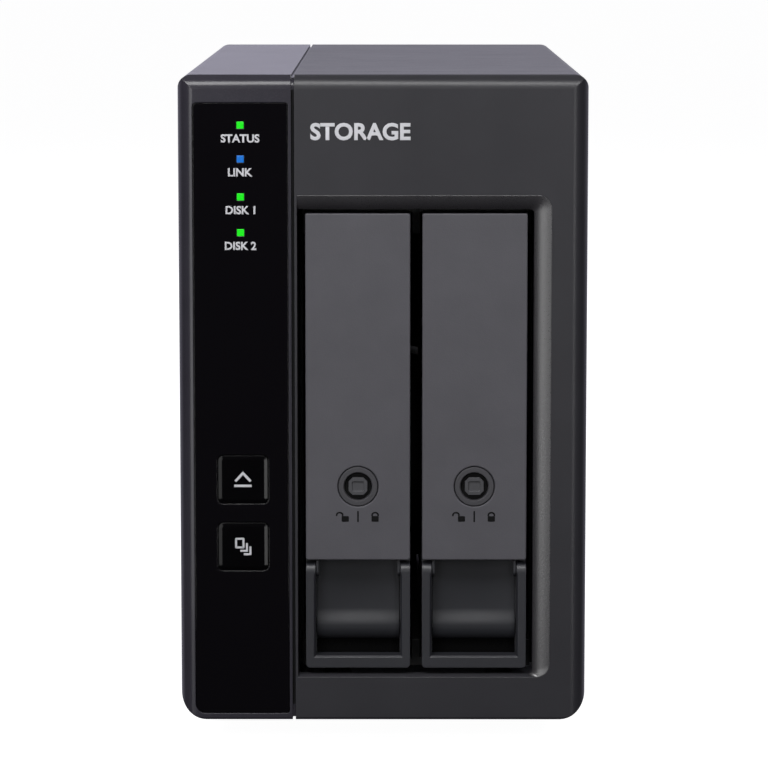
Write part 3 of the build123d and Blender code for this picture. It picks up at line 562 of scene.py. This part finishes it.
def grid_faces(rows: int, columns: int, closed: bool = False, offset: int = 0) -> np.ndarray:
    """Index the quads of a grid of points.

    Args:
        rows: Number of rows.
        columns: Points in each row.
        closed: Whether each row closes on itself.
        offset: Index of the first point.

    Returns:
        One row of four indices for each quad.
    """
    last = columns if closed else columns - 1
    row, column = np.meshgrid(np.arange(rows - 1), np.arange(last), indexing="ij")
    follow = (column + 1) % columns
    quads = np.stack([row * columns + column, row * columns + follow,
                      (row + 1) * columns + follow, (row + 1) * columns + column], axis=-1)
    return quads.reshape(-1, 4) + offset


def shell_piece(name: str, grid: np.ndarray, inward: np.ndarray, thickness: float, finish: Finish, body: str) -> Piece:
    """Make a thin closed shell: a smooth surface, its copy moved inward, and a flat rim between their edges.

    Args:
        name: The piece's name.
        grid: Rows and columns of points on the surface that is seen.
        inward: The way from that surface into the part behind it.
        thickness: The shell's thickness in metres.
        finish: The piece's finish.
        body: The body that it rides on.

    Returns:
        The new object.
    """
    rows, columns = grid.shape[:2]
    edge = np.concatenate([grid[0, :-1], grid[:-1, -1], grid[-1, :0:-1], grid[:0:-1, 0]])
    step = inward * thickness
    front = grid.reshape(-1, 3)
    points = np.concatenate([front, front + step, edge, edge + step])
    faces = np.concatenate([grid_faces(rows, columns), grid_faces(rows, columns, offset=len(front))[:, ::-1],
                            grid_faces(2, len(edge), True, 2 * len(front))[:, ::-1]])
    if np.cross(grid[0, 1] - grid[0, 0], grid[1, 1] - grid[0, 0]) @ inward > 0:
        faces = faces[:, ::-1]
    piece = mesh_piece(name, points, faces, finish, body)
    smooth = np.arange(len(faces)) < 2 * (rows - 1) * (columns - 1)
    piece.data.polygons.foreach_set("use_smooth", smooth)
    return piece


def arc(centre: tuple[float, float], radius: float, start: float, end: float, steps: int = 12) -> np.ndarray:
    """Points on a circle's arc: the centre plus the radius times the cosine and sine of evenly spaced angles."""
    angles = np.radians(np.linspace(start, end, steps))
    return np.stack([centre[0] + radius * np.cos(angles), centre[1] + radius * np.sin(angles)], axis=1)


def rounded_outline(width: float, height: float, radius: float) -> np.ndarray:
    """A closed rounded rectangle: four quarter arcs set in from its corners by their radius."""
    w, h = width / 2 - radius, height / 2 - radius
    corners = [((w, h), 0), ((-w, h), 90), ((-w, -h), 180), ((w, -h), 270)]
    return np.concatenate([arc(centre, radius, turn, turn + 90, 7) for centre, turn in corners])


def stroke(path: np.ndarray, width: float, closed: bool = False) -> tuple[np.ndarray, np.ndarray]:
    """A line of even width along a path: each point is moved half the width each way along its mitre.

    Args:
        path: Points across and up.
        width: The line's width.
        closed: Whether the path ends where it starts.

    Returns:
        The outline's points and its quads.
    """
    before = np.roll(path, 1, axis=0)
    after = np.roll(path, -1, axis=0)
    if not closed:
        before[0] = 2 * path[0] - path[1]
        after[-1] = 2 * path[-1] - path[-2]
    into = path - before
    out = after - path
    into = into / np.linalg.norm(into, axis=1, keepdims=True)
    out = out / np.linalg.norm(out, axis=1, keepdims=True)
    along = into + out
    along /= np.linalg.norm(along, axis=1, keepdims=True)
    side = np.stack([-along[:, 1], along[:, 0]], axis=1)
    reach = width / 2 / np.clip((along * into).sum(axis=1, keepdims=True), 0.5, 1.0)
    points = np.concatenate([path + side * reach, path - side * reach])
    return points, grid_faces(2, len(path), closed)


def back_up(piece: Piece, outward: np.ndarray, thickness: float) -> None:
    """Turn a flat piece's faces outward and give it its thickness towards what is behind it.

    Args:
        piece: The piece.
        outward: The way its faces look.
        thickness: Its thickness in metres.
    """
    mesh = piece.data
    normals = np.zeros(len(mesh.polygons) * 3, np.float32)
    mesh.polygons.foreach_get("normal", normals)
    if (normals.reshape(-1, 3) @ outward).sum() < 0:
        mesh.flip_normals()
    solid = piece.modifiers.new("thickness", "SOLIDIFY")
    solid.thickness = thickness
    solid.offset = -1.0


@dataclass(frozen=True)
class Style:
    """How a print is made: its ink, its body, a material slot that is not used, the way it looks, its lift and its
    weight.

    The lift is in thicknesses off the surface. The weight thickens letters each way, as a part of their height.
    """

    ink: Printing
    body: str
    slot: str
    facing: Facing = Facing.FRONT
    lift: float = 1.0
    weight: float = 0.03


@dataclass
class PrintShop:
    """Lays symbols, lettering and labels on upright faces."""

    thickness: float = 0.00003
    solid_share: float = 0.9
    cap_share: float = 0.69
    count: int = 0

    def finish_of(self, ink: Printing) -> Finish:
        """Return the finish of an ink."""
        return {Printing.LIGHT: Palette.LIGHT_INK, Printing.DARK: Palette.DARK_INK,
                Printing.PAPER: Palette.PAPER}[ink]

    def lay(self, name: str, shapes: list[tuple[np.ndarray, np.ndarray]], centre: Point,
            style: Style) -> Piece:
        """Lay flat shapes as one thin print.

        Args:
            name: The piece's name.
            shapes: Points across and up in metres about the centre, with their faces.
            centre: Where the print's middle lies on the surface.
            style: How the print is made.

        Returns:
            The print.
        """
        across, outward = (np.array(axis) for axis in style.facing.value)
        points: list[np.ndarray] = []
        faces: list[tuple[int, ...]] = []
        total = 0
        for flat, quads in shapes:
            raised = np.array(centre) + outward * self.thickness * style.lift
            points.append(raised + flat[:, :1] * across + flat[:, 1:2] * np.array([0.0, 0.0, 1.0]))
            faces += [tuple(int(i) + total for i in face) for face in quads]
            total += len(flat)
        piece = mesh_piece(name, np.concatenate(points), faces, self.finish_of(style.ink), style.body)
        back_up(piece, outward, self.thickness * self.solid_share)
        self.count += 1
        return piece

    def letter(self, name: str, words: str, cap: float, centre: Point, style: Style) -> Piece:
        """Set a word in plain letters.

        Args:
            name: The piece's name.
            words: What it says.
            cap: Height of the capitals in metres.
            centre: Middle of the word on the surface.
            style: How the print is made.

        Returns:
            The word's piece.
        """
        curve = bpy.data.curves.new(name, "FONT")
        curve.body = words
        curve.size = cap / self.cap_share
        curve.offset = cap * style.weight
        curve.resolution_u = 4
        holder = bpy.data.objects.new(name + "_type", curve)
        bpy.context.scene.collection.objects.link(holder)
        bpy.context.view_layer.update()
        mesh = bpy.data.meshes.new_from_object(holder.evaluated_get(bpy.context.evaluated_depsgraph_get()))
        bpy.data.objects.remove(holder)
        flat = np.zeros(len(mesh.vertices) * 3, np.float32)
        mesh.vertices.foreach_get("co", flat)
        flat = flat.reshape(-1, 3)[:, :2].astype(float)
        flat -= (flat.min(axis=0) + flat.max(axis=0)) / 2
        faces = np.array([tuple(p.vertices) for p in mesh.polygons], dtype=object)
        return self.lay(name, [(flat, faces)], centre, style)


@dataclass
class ControlColumn:
    """The glossy column: its housing, lens, lights, keys and their printing."""

    prints: PrintShop
    label_cap: float = 1.9 * MM
    label_drop: float = 3.3 * MM
    labels: dict[str, str] = field(default_factory=lambda: {
        "status": "STATUS", "link": "LINK", "disk_1": "DISK 1", "disk_2": "DISK 2"})
    line: float = 0.62 * MM
    sheet: tuple[float, float] = (1.85 * MM, 2.2 * MM)
    sheet_step: float = 0.86 * MM
    sheet_round: float = 0.1 * MM
    sheet_line: float = 0.85

    def dress(self) -> None:
        """Give the column's parts their finishes."""
        dress(Palette.COLUMN, "control_panel_housing", "rear_port_panel", "left_shell")
        dress(Palette.LENS, "lens_panel")
        dress(Palette.KEY, "eject_key", "copy_key")
        dress(Palette.BOARD, "front_board")
        dress(Palette.WHITE, "front_leds")
        dress(Palette.BLACK, "key_switches")
        dress(Palette.GREEN, "status_light_pipe", "disk_1_light_pipe", "disk_2_light_pipe")
        dress(Palette.BLUE, "link_light_pipe")

    def face_of(self, node: str) -> Point:
        """Return the middle of a node's front face."""
        low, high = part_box(node)
        return ((low.x + high.x) / 2, low.y, (low.z + high.z) / 2)

    def print_labels(self) -> None:
        """Print a word under each light."""
        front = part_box("lens_panel")[0].y
        style = Style(Printing.LIGHT, "enclosure", "lens_gloss", weight=0.05)
        for light, words in self.labels.items():
            x, _, z = self.face_of(light + "_light_pipe")
            self.prints.letter("label_" + light, words, self.label_cap, (x, front, z - self.label_drop), style)

    def print_eject(self) -> None:
        """Print an upward chevron over a bar on the upper key."""
        chevron = np.array([[-1.9, -0.45], [0.0, 1.6], [1.9, -0.45]]) * MM
        bar = np.array([[-2.2, -1.6], [2.2, -1.6]]) * MM
        shapes = [stroke(chevron, self.line), stroke(bar, self.line)]
        self.prints.lay("symbol_eject", shapes, self.face_of("eject_key"),
                        Style(Printing.LIGHT, "eject_key", "key_gloss"))

    def print_copy(self) -> None:
        """Print three stacked sheets on the lower key: one whole sheet and the corners of two behind it."""
        wide, high = self.sheet
        corner = np.array([-self.sheet_step, self.sheet_step])
        line = self.line * self.sheet_line
        shapes = [stroke(rounded_outline(wide, high, self.sheet_round) + corner, line, closed=True)]
        bend = np.array([[-wide * 0.8, -high], [wide, -high], [wide, high * 0.8]]) / 2
        shapes += [stroke(bend, line), stroke(bend - corner, line)]
        self.prints.lay("symbol_copy", shapes, self.face_of("copy_key"),
                        Style(Printing.LIGHT, "copy_key", "key_gloss"))

    def build(self) -> None:
        """Dress the column and print on it."""
        self.dress()
        self.print_labels()
        self.print_eject()
        self.print_copy()


@dataclass
class Case:
    """The bay half of the case, the cage inside it and the feet."""

    prints: PrintShop
    word: str = "STORAGE"
    word_cap: float = 3.9 * MM
    word_x: float = -5.6 * MM
    word_z: float = 154.5 * MM
    bevel_outer: tuple[float, float, float] = (42.0 * MM, 138.7 * MM, 3.3 * MM)
    bevel_inner: tuple[float, float, float] = (37.6 * MM, 135.2 * MM, 1.2 * MM)
    bevel_foot: tuple[float, float] = (17.0 * MM, 17.5 * MM)
    bevel_start: float = -21.4 * MM
    bevel_depth: float = 1.2 * MM
    bevel_swell: float = 0.5
    bevel_skin: float = 0.3 * MM
    groove: tuple[float, float] = (-22.78 * MM, -22.12 * MM)
    groove_ends: tuple[float, float] = (10.0 * MM, 164.8 * MM)
    groove_depth: float = 0.72 * MM

    def dress(self) -> None:
        """Give the case's parts their finishes."""
        dress(Palette.CASE, "front_bezel", "right_shell", "rear_fan_panel")
        dress(Palette.SHEET, "drive_cage")
        dress(Palette.GUIDE, "upper_guide", "lower_guide")
        dress(Palette.RUBBER, "rubber_feet")
        dress(Palette.STEEL, "case_screws", "fan_screws", "board_screws")

    def bevel_line(self, edge: tuple[float, float, float], foot: float) -> np.ndarray:
        """Run along one edge of the bay opening's bevel: over the top, round the corner, down the side and round.

        Args:
            edge: The edge's right-hand x, its top z and its corner radius.
            foot: The edge's lowest z.

        Returns:
            Points across and up.
        """
        right, top, radius = edge
        start = np.array([[self.bevel_start, top]])
        upper = arc((right - radius, top - radius), radius, 90.0, 0.0, 11)
        lower = arc((right - radius, foot + radius), radius, 0.0, -90.0, 11)
        return np.concatenate([start, upper, lower])

    def swell_bevel(self) -> None:
        """Round the bay opening's bevel: its depth is a blend of the distance in from the edge and its cube."""
        outer = self.bevel_line(self.bevel_outer, self.bevel_foot[0])[:, None]
        inner = self.bevel_line(self.bevel_inner, self.bevel_foot[1])[:, None]
        run = np.linspace(0.0, 1.0, 15)[None, :]
        flat = outer + (inner - outer) * run[..., None]
        sink = self.bevel_depth * ((1.0 - self.bevel_swell) * run + self.bevel_swell * run**3)
        depth = np.broadcast_to(CAD_BOX[0].y + sink, flat.shape[:2])
        grid = np.stack([flat[..., 0], depth, flat[..., 1]], axis=-1)
        shell_piece("bay_bevel", grid, BACKWARD, self.bevel_skin, Palette.BEVEL, "enclosure")

    def shade_groove(self) -> None:
        """Line the bottom of the groove between the column and the bay half with a flat black strip: painted shade
        where the groove falls dark.
        """
        (left, right), (low, high) = self.groove, self.groove_ends
        strip = np.array([[left, low], [right, low], [right, high], [left, high]])
        self.prints.lay("groove_shade", [(strip, np.arange(4).reshape(1, -1))],
                        (0.0, CAD_BOX[0].y + self.groove_depth, 0.0), Style(Printing.DARK, "enclosure", "case_plastic"))

    def build(self) -> None:
        """Dress the case, round its bevel, shade its groove and set its plain word above the bays."""
        self.dress()
        self.swell_bevel()
        self.shade_groove()
        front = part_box("front_bezel")[0].y
        self.prints.letter("label_case", self.word, self.word_cap, (self.word_x, front, self.word_z),
                           Style(Printing.LIGHT, "enclosure", "case_plastic", weight=0.05))


@dataclass
class Tray:
    """One drive tray with its cover, handle, lock and drive."""

    number: int
    prints: PrintShop
    icon_drop: float = 7.6 * MM
    line: float = 0.4 * MM
    label: tuple[float, float] = (88.0 * MM, 60.0 * MM)
    label_shift: float = 4.0 * MM
    label_cap: float = 4.5 * MM
    label_rule: float = 1.1 * MM
    well_radius: float = 3.42 * MM
    well_depth: float = 1.5 * MM
    pad: tuple[float, float] = (20.8 * MM, 7.1 * MM)
    pad_cell: float = 0.22 * MM
    pad_swell: float = 0.15 * MM
    pad_face: float = -101.6 * MM
    pad_foot: float = 21.05 * MM
    scoop_half: float = 10.42 * MM
    scoop_back: float = -102.3 * MM
    scoop_hollow: float = 0.7 * MM
    scoop_top: float = 46.3 * MM
    lip_face: float = -103.97 * MM
    lip_rise: tuple[float, float] = (29.3 * MM, 33.4 * MM)
    lip_foot: tuple[float, float] = (28.9 * MM, 25.4 * MM)
    lip_roll: float = 2.4 * MM
    scoop_skin: float = 0.05 * MM

    @property
    def body(self) -> str:
        """The tray's body."""
        return f"tray_{self.number}"

    def node(self, piece: str) -> str:
        """Return the full name of one of the tray's nodes."""
        return f"tray_{self.number}_{piece}"

    def dress(self) -> None:
        """Give the tray's parts their finishes."""
        dress(Palette.TRAY, self.node("frame"))
        dress(Palette.COVER, self.node("cover"))
        dress(Palette.RING, self.node("lock_ring"))
        dress(Palette.HANDLE, self.node("handle"))
        dress(Palette.LOCK, self.node("lock_plug"))
        dress(Palette.STEEL, self.node("lock_cam"), self.node("screws"), self.node("drive_lid"))
        dress(Palette.CAST, self.node("drive_base"))
        dress(Palette.BOARD, self.node("drive_board"))

    def padlock(self, shackle_shift: float) -> list[tuple[np.ndarray, np.ndarray]]:
        """Draw a padlock: a filled body and a U-shaped shackle, shifted sideways where it is open."""
        outline = rounded_outline(1.8 * MM, 1.4 * MM, 0.2 * MM) - np.array([0.0, 0.6]) * MM
        face = np.arange(len(outline)).reshape(1, -1)
        top = 0.45 * MM
        bow = arc((0.0, 0.0), 0.6 * MM, 0, 180, 9) * np.array([1.25, 0.9]) + np.array([shackle_shift, top])
        legs = np.array([[0.75, 0.1], [-0.75, 0.1]]) * MM + np.array([shackle_shift, 0.0])
        return [(outline, face), stroke(np.concatenate([legs[:1], bow, legs[1:]]), self.line)]

    def print_icons(self) -> None:
        """Print an open padlock, a divider and a closed padlock under the lock."""
        ring_low, ring_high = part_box(self.node("lock_ring"))
        centre = ((ring_low.x + ring_high.x) / 2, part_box(self.node("cover"))[0].y,
                  (ring_low.z + ring_high.z) / 2 - self.icon_drop)
        opened = [(points - np.array([3.2, 0.0]) * MM, faces) for points, faces in self.padlock(-1.4 * MM)]
        closed = [(points + np.array([4.3, 0.0]) * MM, faces) for points, faces in self.padlock(0.0)]
        divider = stroke(np.array([[0.0, -1.4], [0.0, 1.4]]) * MM, self.line)
        self.prints.lay(f"symbols_lock_{self.number}", [*opened, divider, *closed], centre,
                        Style(Printing.DARK, self.body, "cover_metal"))

    def stick_label(self) -> None:
        """Stick a plain paper label on the drive's lid, with a word and a few ruled lines."""
        low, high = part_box(self.node("drive_lid"))
        centre = (high.x, (low.y + high.y) / 2 + self.label_shift, (low.z + high.z) / 2)
        wide, high_side = self.label
        sheet = rounded_outline(wide, high_side, 2.0 * MM)
        face = np.arange(len(sheet)).reshape(1, -1)
        paper = Style(Printing.PAPER, self.body, "bare_steel", Facing.RIGHT)
        ink = Style(Printing.DARK, self.body, "bare_steel", Facing.RIGHT, 2.0)
        self.prints.lay(f"drive_label_{self.number}", [(sheet, face)], centre, paper)
        rules = [stroke(np.array([[-wide * 0.42, up * high_side], [wide * run, up * high_side]]), self.label_rule)
                 for up, run in ((0.05, 0.38), (-0.06, 0.3), (-0.17, 0.36), (-0.28, 0.12), (-0.39, 0.24))]
        self.prints.lay(f"drive_rules_{self.number}", rules, centre, ink)
        title = (centre[0], centre[1] - wide * 0.2, centre[2] + high_side * 0.3)
        self.prints.letter(f"drive_title_{self.number}", "DISK DRIVE", self.label_cap, title, ink)

    def paint_well_shade(self) -> None:
        """Paint the floor of the lock's well, around the plug's raised middle, a flat black: painted shade for the deep
        well.
        """
        low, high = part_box(self.node("lock_plug"))
        disc = arc((0.0, 0.0), self.well_radius, 0.0, 350.0, 36)
        face = np.arange(len(disc)).reshape(1, -1)
        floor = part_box(self.node("cover"))[0].y + self.well_depth
        self.prints.lay(f"lock_well_shade_{self.number}", [(disc, face)], ((low.x + high.x) / 2, floor, (low.z + high.z) / 2),
                        Style(Printing.DARK, f"lock_{self.number}", "lock_plastic"))

    def pad_pocket(self) -> None:
        """Set a black pad in the gap under the scoop's lip, painted shade for the dark gap: a plane with small even
        swells both ways.
        """
        low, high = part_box(self.node("frame"))
        across, up = np.meshgrid(np.linspace(-1.0, 1.0, 61), np.linspace(0.0, 1.0, 25))
        wide, tall = self.pad
        swell = np.sin(across * wide / self.pad_cell) * np.sin(up * tall / self.pad_cell) * self.pad_swell
        middle = (low.x + high.x) / 2
        points = np.stack([middle + across * wide / 2, self.pad_face - swell, self.pad_foot + up * tall], axis=-1)
        pad = mesh_piece(f"pocket_shade_pad_{self.number}", points.reshape(-1, 3), grid_faces(*across.shape), Palette.POCKET_SHADE,
                         self.body)
        back_up(pad, -BACKWARD, self.pad_swell * 4)

    def line_scoop(self) -> None:
        """Line the finger scoop: a shallow upright hollow that eases forward to a rolled lip.

        Across, the depth is a parabola. Going down, it eases to the lip's face by the smooth cubic of the height,
        and below the lip it follows a quarter of an ellipse back and under.
        """
        low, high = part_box(self.node("frame"))
        across, up = np.meshgrid(np.linspace(-1.0, 1.0, 49), self.scoop_heights())
        hollow = self.scoop_back - self.scoop_hollow * across**2
        ease = np.clip((self.lip_rise[1] - up) / (self.lip_rise[1] - self.lip_rise[0]), 0.0, 1.0)
        ease = ease * ease * (3.0 - 2.0 * ease)
        under = np.clip((self.lip_foot[0] - up) / (self.lip_foot[0] - self.lip_foot[1]), 0.0, 1.0)
        roll = self.lip_roll * (1.0 - np.sqrt(1.0 - under**2))
        depth = hollow * (1.0 - ease) + self.lip_face * ease + roll
        grid = np.stack([(low.x + high.x) / 2 + across * self.scoop_half, depth, up], axis=-1)
        shell_piece(f"scoop_{self.number}", grid, BACKWARD, self.scoop_skin, Palette.SCOOP, self.body)

    def scoop_heights(self) -> np.ndarray:
        """Return the rows' heights: few up the wall, many over the lip."""
        return np.concatenate([np.linspace(self.scoop_top, self.lip_rise[1], 8),
                               np.linspace(self.lip_rise[1], self.lip_foot[0], 20)[1:],
                               np.linspace(self.lip_foot[0], self.lip_foot[1], 20)[1:]])

    def build(self) -> None:
        """Dress the tray, print its symbols, label its drive, line its scoop, and paint shade into its well and the gap
        under its lip with black pieces.
        """
        self.dress()
        self.line_scoop()
        self.print_icons()
        self.stick_label()
        self.paint_well_shade()
        self.pad_pocket()


@dataclass
class Rear:
    """The fan, the boards, and the connectors and switches at the rear."""

    prints: PrintShop
    cross: tuple[float, float] = (2.2 * MM, 0.5 * MM)
    cross_inset: float = 1.85 * MM
    numeral_cap: float = 2.2 * MM
    numeral_place: tuple[float, float] = (-4.5 * MM, 0.9 * MM)
    label_cap: float = 1.9 * MM
    labels: dict[str, tuple[str, str, float]] = field(default_factory=lambda: {
        "mark_power_in": ("DC IN", "power_jack", 7.5 * MM), "mark_port": ("DATA", "usb_c_port", 7.2 * MM)})
    power_ring: float = 1.6 * MM
    power_line: float = 0.4 * MM
    power_rise: float = 9.0 * MM

    def middle_of(self, node: str) -> Point:
        """Return the middle of a node's rear face."""
        low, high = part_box(node)
        return ((low.x + high.x) / 2, high.y, (low.z + high.z) / 2)

    def cut_crosses(self) -> None:
        """Mark the driver's cross in each fan screw's head."""
        low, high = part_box("fan_screws")
        inset = (high.x - low.x) / 2 - self.cross_inset
        x, y, z = self.middle_of("fan_screws")
        reach, width = self.cross
        arms = [stroke(np.array([[-reach, 0.0], [reach, 0.0]]) / 2, width),
                stroke(np.array([[0.0, -reach], [0.0, reach]]) / 2, width)]
        shapes = [(points + np.array([i, k]) * inset, faces)
                  for i in (-1, 1) for k in (-1, 1) for points, faces in arms]
        self.prints.lay("screw_crosses", shapes, (x, y, z),
                        Style(Printing.DARK, "enclosure", "bare_steel", Facing.REAR))

    def print_marks(self) -> None:
        """Print numerals by the mode switches, a power symbol over the key and words by the sockets."""
        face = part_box("rear_port_panel")[1].y
        style = Style(Printing.LIGHT, "enclosure", "column_plastic", Facing.REAR)
        aside, up = self.numeral_place
        for number in (1, 2):
            x, _, z = self.middle_of(f"mode_slider_{number}")
            self.prints.letter(f"mark_mode_{number}", str(number), self.numeral_cap, (x + aside, face, z + up), style)
        for name, (words, node, drop) in self.labels.items():
            x, _, z = self.middle_of(node)
            self.prints.letter(name, words, self.label_cap, (x, face, z - drop), style)
        x, _, z = self.middle_of("power_key")
        ring = arc((0.0, 0.0), self.power_ring, 125.0, 415.0, 25)
        bar = np.array([[0.0, 0.5], [0.0, 2.2]]) * MM
        self.prints.lay("mark_power", [stroke(ring, self.power_line), stroke(bar, self.power_line)],
                        (x, face, z + self.power_rise), style)

    def build(self) -> None:
        """Dress the parts and print on the rear."""
        self.dress()
        self.cut_crosses()
        self.print_marks()

    def dress(self) -> None:
        """Give the rear's parts their finishes."""
        dress(Palette.BLACK, "fan_frame", "fan_rotor", "sata_receptacles", "edge_socket", "power_jack",
              "rear_switches", "bridge_chip")
        dress(Palette.BOARD, "backplane_board", "main_board")
        dress(Palette.STEEL, "usb_c_port")
        dress(Palette.SINK, "heat_sink", "capacitors")
        dress(Palette.LEAD, "fan_cable", "front_cable")
        dress(Palette.KEY, "power_key")
        dress(Palette.WHITE, "mode_slider_1", "mode_slider_2")


@dataclass
class Studio:
    """The floor, the lights and the camera."""

    floor_reach: float = 14.0
    floor_grey: Colour = (0.3, 0.3, 0.3)
    floor_glow: float = 0.97
    middle: Point = (0.0, -0.1, 0.09)
    front_lamps: dict[str, tuple[Point, tuple[float, float], float]] = field(default_factory=lambda: {
        "key_overhead": ((-0.1, -0.52, 0.64), (0.6, 0.26), 4.4),
        "strip_left": ((-0.43, -1.15, 0.25), (0.42, 0.9), 3.6),
        "strip_right": ((0.36, -1.2, 0.25), (0.14, 0.9), 2.6)})
    rear_lamps: dict[str, Point] = field(default_factory=lambda: {
        "rear_left": (-0.7, 0.75, 1.0), "rear_right": (0.7, 0.75, 1.0)})
    rear_middle: Point = (0.0, 0.1, 0.09)
    rear_size: tuple[float, float] = (0.6, 0.5)
    rear_power: float = 8.0
    distance: float = 0.9
    eye_height: float = 0.207
    eye_x: float = 0.0022
    lens: float = 170.4
    tilt: float = 7.31
    turn: float = 0.125
    backdrop_edge: tuple[float, float] = (0.05, 0.35)
    backdrop_top: tuple[float, float] = (0.4, 0.5)
    backdrop_tint: Colour = (0.77, 0.76, 0.83)
    room: Colour = (0.19, 0.19, 0.2)
    room_dark: Colour = (0.035, 0.035, 0.04)
    room_edge: tuple[float, float] = (-0.985, -0.9)

    def floor(self) -> None:
        """Lay a wide pale floor."""
        mesh = bpy.data.meshes.new("floor")
        reach = self.floor_reach
        mesh.from_pydata([(-reach, -reach, 0), (reach, -reach, 0), (reach, reach, 0), (-reach, reach, 0)], [],
                         [(0, 1, 2, 3)])
        floor = bpy.data.objects.new("floor", mesh)
        bpy.context.scene.collection.objects.link(floor)
        material = bpy.data.materials.new("pale_floor")
        material.use_nodes = True
        shader = material.node_tree.nodes["Principled BSDF"]
        shader.inputs["Base Color"].default_value = (*self.floor_grey, 1.0)
        shader.inputs["Roughness"].default_value = 0.9
        shader.inputs["Specular IOR Level"].default_value = 0.0
        shader.inputs["Emission Color"].default_value = (1.0, 1.0, 1.0, 1.0)
        shader.inputs["Emission Strength"].default_value = self.floor_glow
        mesh.materials.append(material)
        floor.visible_glossy = False
        floor.visible_diffuse = False

    def sky(self) -> None:
        """Surround the scene with a bright backdrop behind the unit and a dim room in front of it."""
        world = bpy.data.worlds.new("studio")
        bpy.context.scene.world = world
        world.use_nodes = True
        world.node_tree.nodes.clear()
        build = NodeBuilder(world.node_tree)
        axes = build.add("SeparateXYZ")
        build.feed(axes.inputs[0], build.add("TexCoord").outputs["Generated"])
        behind = build.remap(axes.outputs["Y"], *self.backdrop_edge, 0.0, 1.0)
        low = build.remap(axes.outputs["Z"], *self.backdrop_top, 1.0, 0.0)
        lit = build.math("MULTIPLY", behind, low)
        path = build.add("LightPath")
        seen = build.mix(path.outputs["Is Camera Ray"], linear(self.backdrop_tint), (1.0, 1.0, 1.0, 1.0))
        away = build.remap(axes.outputs["Y"], *self.room_edge, 0.0, 1.0)
        room = build.mix(away, linear(self.room), linear(self.room_dark))
        background = build.add("Background")
        build.feed(background.inputs["Color"], build.mix(lit, room, seen))
        background.inputs["Strength"].default_value = 1.0
        output = build.add("OutputWorld")
        build.feed(output.inputs["Surface"], background.outputs[0])

    def lamp(self, name: str, place: Point, target: Point,
             size: tuple[float, float], power: float) -> Piece:
        """Hang a soft box.

        Args:
            name: The light's name.
            place: Its middle.
            target: The point that it faces.
            size: Its width and height.
            power: Its power in watts.

        Returns:
            The light.
        """
        light = bpy.data.lights.new(name, "AREA")
        light.shape = "RECTANGLE"
        light.size, light.size_y = size
        light.energy = power
        lamp = bpy.data.objects.new(name, light)
        lamp.location = place
        lamp.rotation_euler = (Vector(target) - Vector(place)).to_track_quat("-Z", "Y").to_euler()
        bpy.context.scene.collection.objects.link(lamp)
        return lamp

    def lights(self) -> None:
        """Hang the lights: an overhead key and two upright strips in front, and two unseen fills behind."""
        for name, (place, size, power) in self.front_lamps.items():
            self.lamp(name, place, self.middle, size, power)
        for name, place in self.rear_lamps.items():
            rear = self.lamp(name, place, self.rear_middle, self.rear_size, self.rear_power)
            rear.visible_camera = False

    def camera(self) -> None:
        """Set up the camera in front, a little above, looking slightly down."""
        data = bpy.data.cameras.new("camera")
        data.lens = self.lens
        camera = bpy.data.objects.new("camera", data)
        front = CAD_BOX[0].y
        camera.location = (self.eye_x, front - self.distance, self.eye_height)
        camera.rotation_euler = (math.radians(90.0 - self.tilt), 0.0, math.radians(self.turn))
        bpy.context.scene.collection.objects.link(camera)
        bpy.context.scene.camera = camera

    def build(self) -> None:
        """Build the whole studio."""
        self.floor()
        self.sky()
        self.lights()
        self.camera()
        bpy.context.scene.view_settings.view_transform = "Standard"


def main() -> None:
    """Build every part of the scene in order."""
    logging.basicConfig(level=logging.INFO, format="%(name)s: %(message)s")
    EFFECTS.build_all()
    prints = PrintShop()
    steps: list[tuple[str, Callable[[], None]]] = [
        ("control column", ControlColumn(prints).build),
        ("case", Case(prints).build),
        ("rear", Rear(prints).build),
    ]
    steps += [(f"tray {number}", Tray(number, prints).build) for number in TRAYS]
    steps.append(("studio", Studio().build))
    for name, build in steps:
        build()
        LOG.info("built the %s", name)
    LOG.info("laid %d prints", prints.count)


if __name__ == "__main__":
    main()
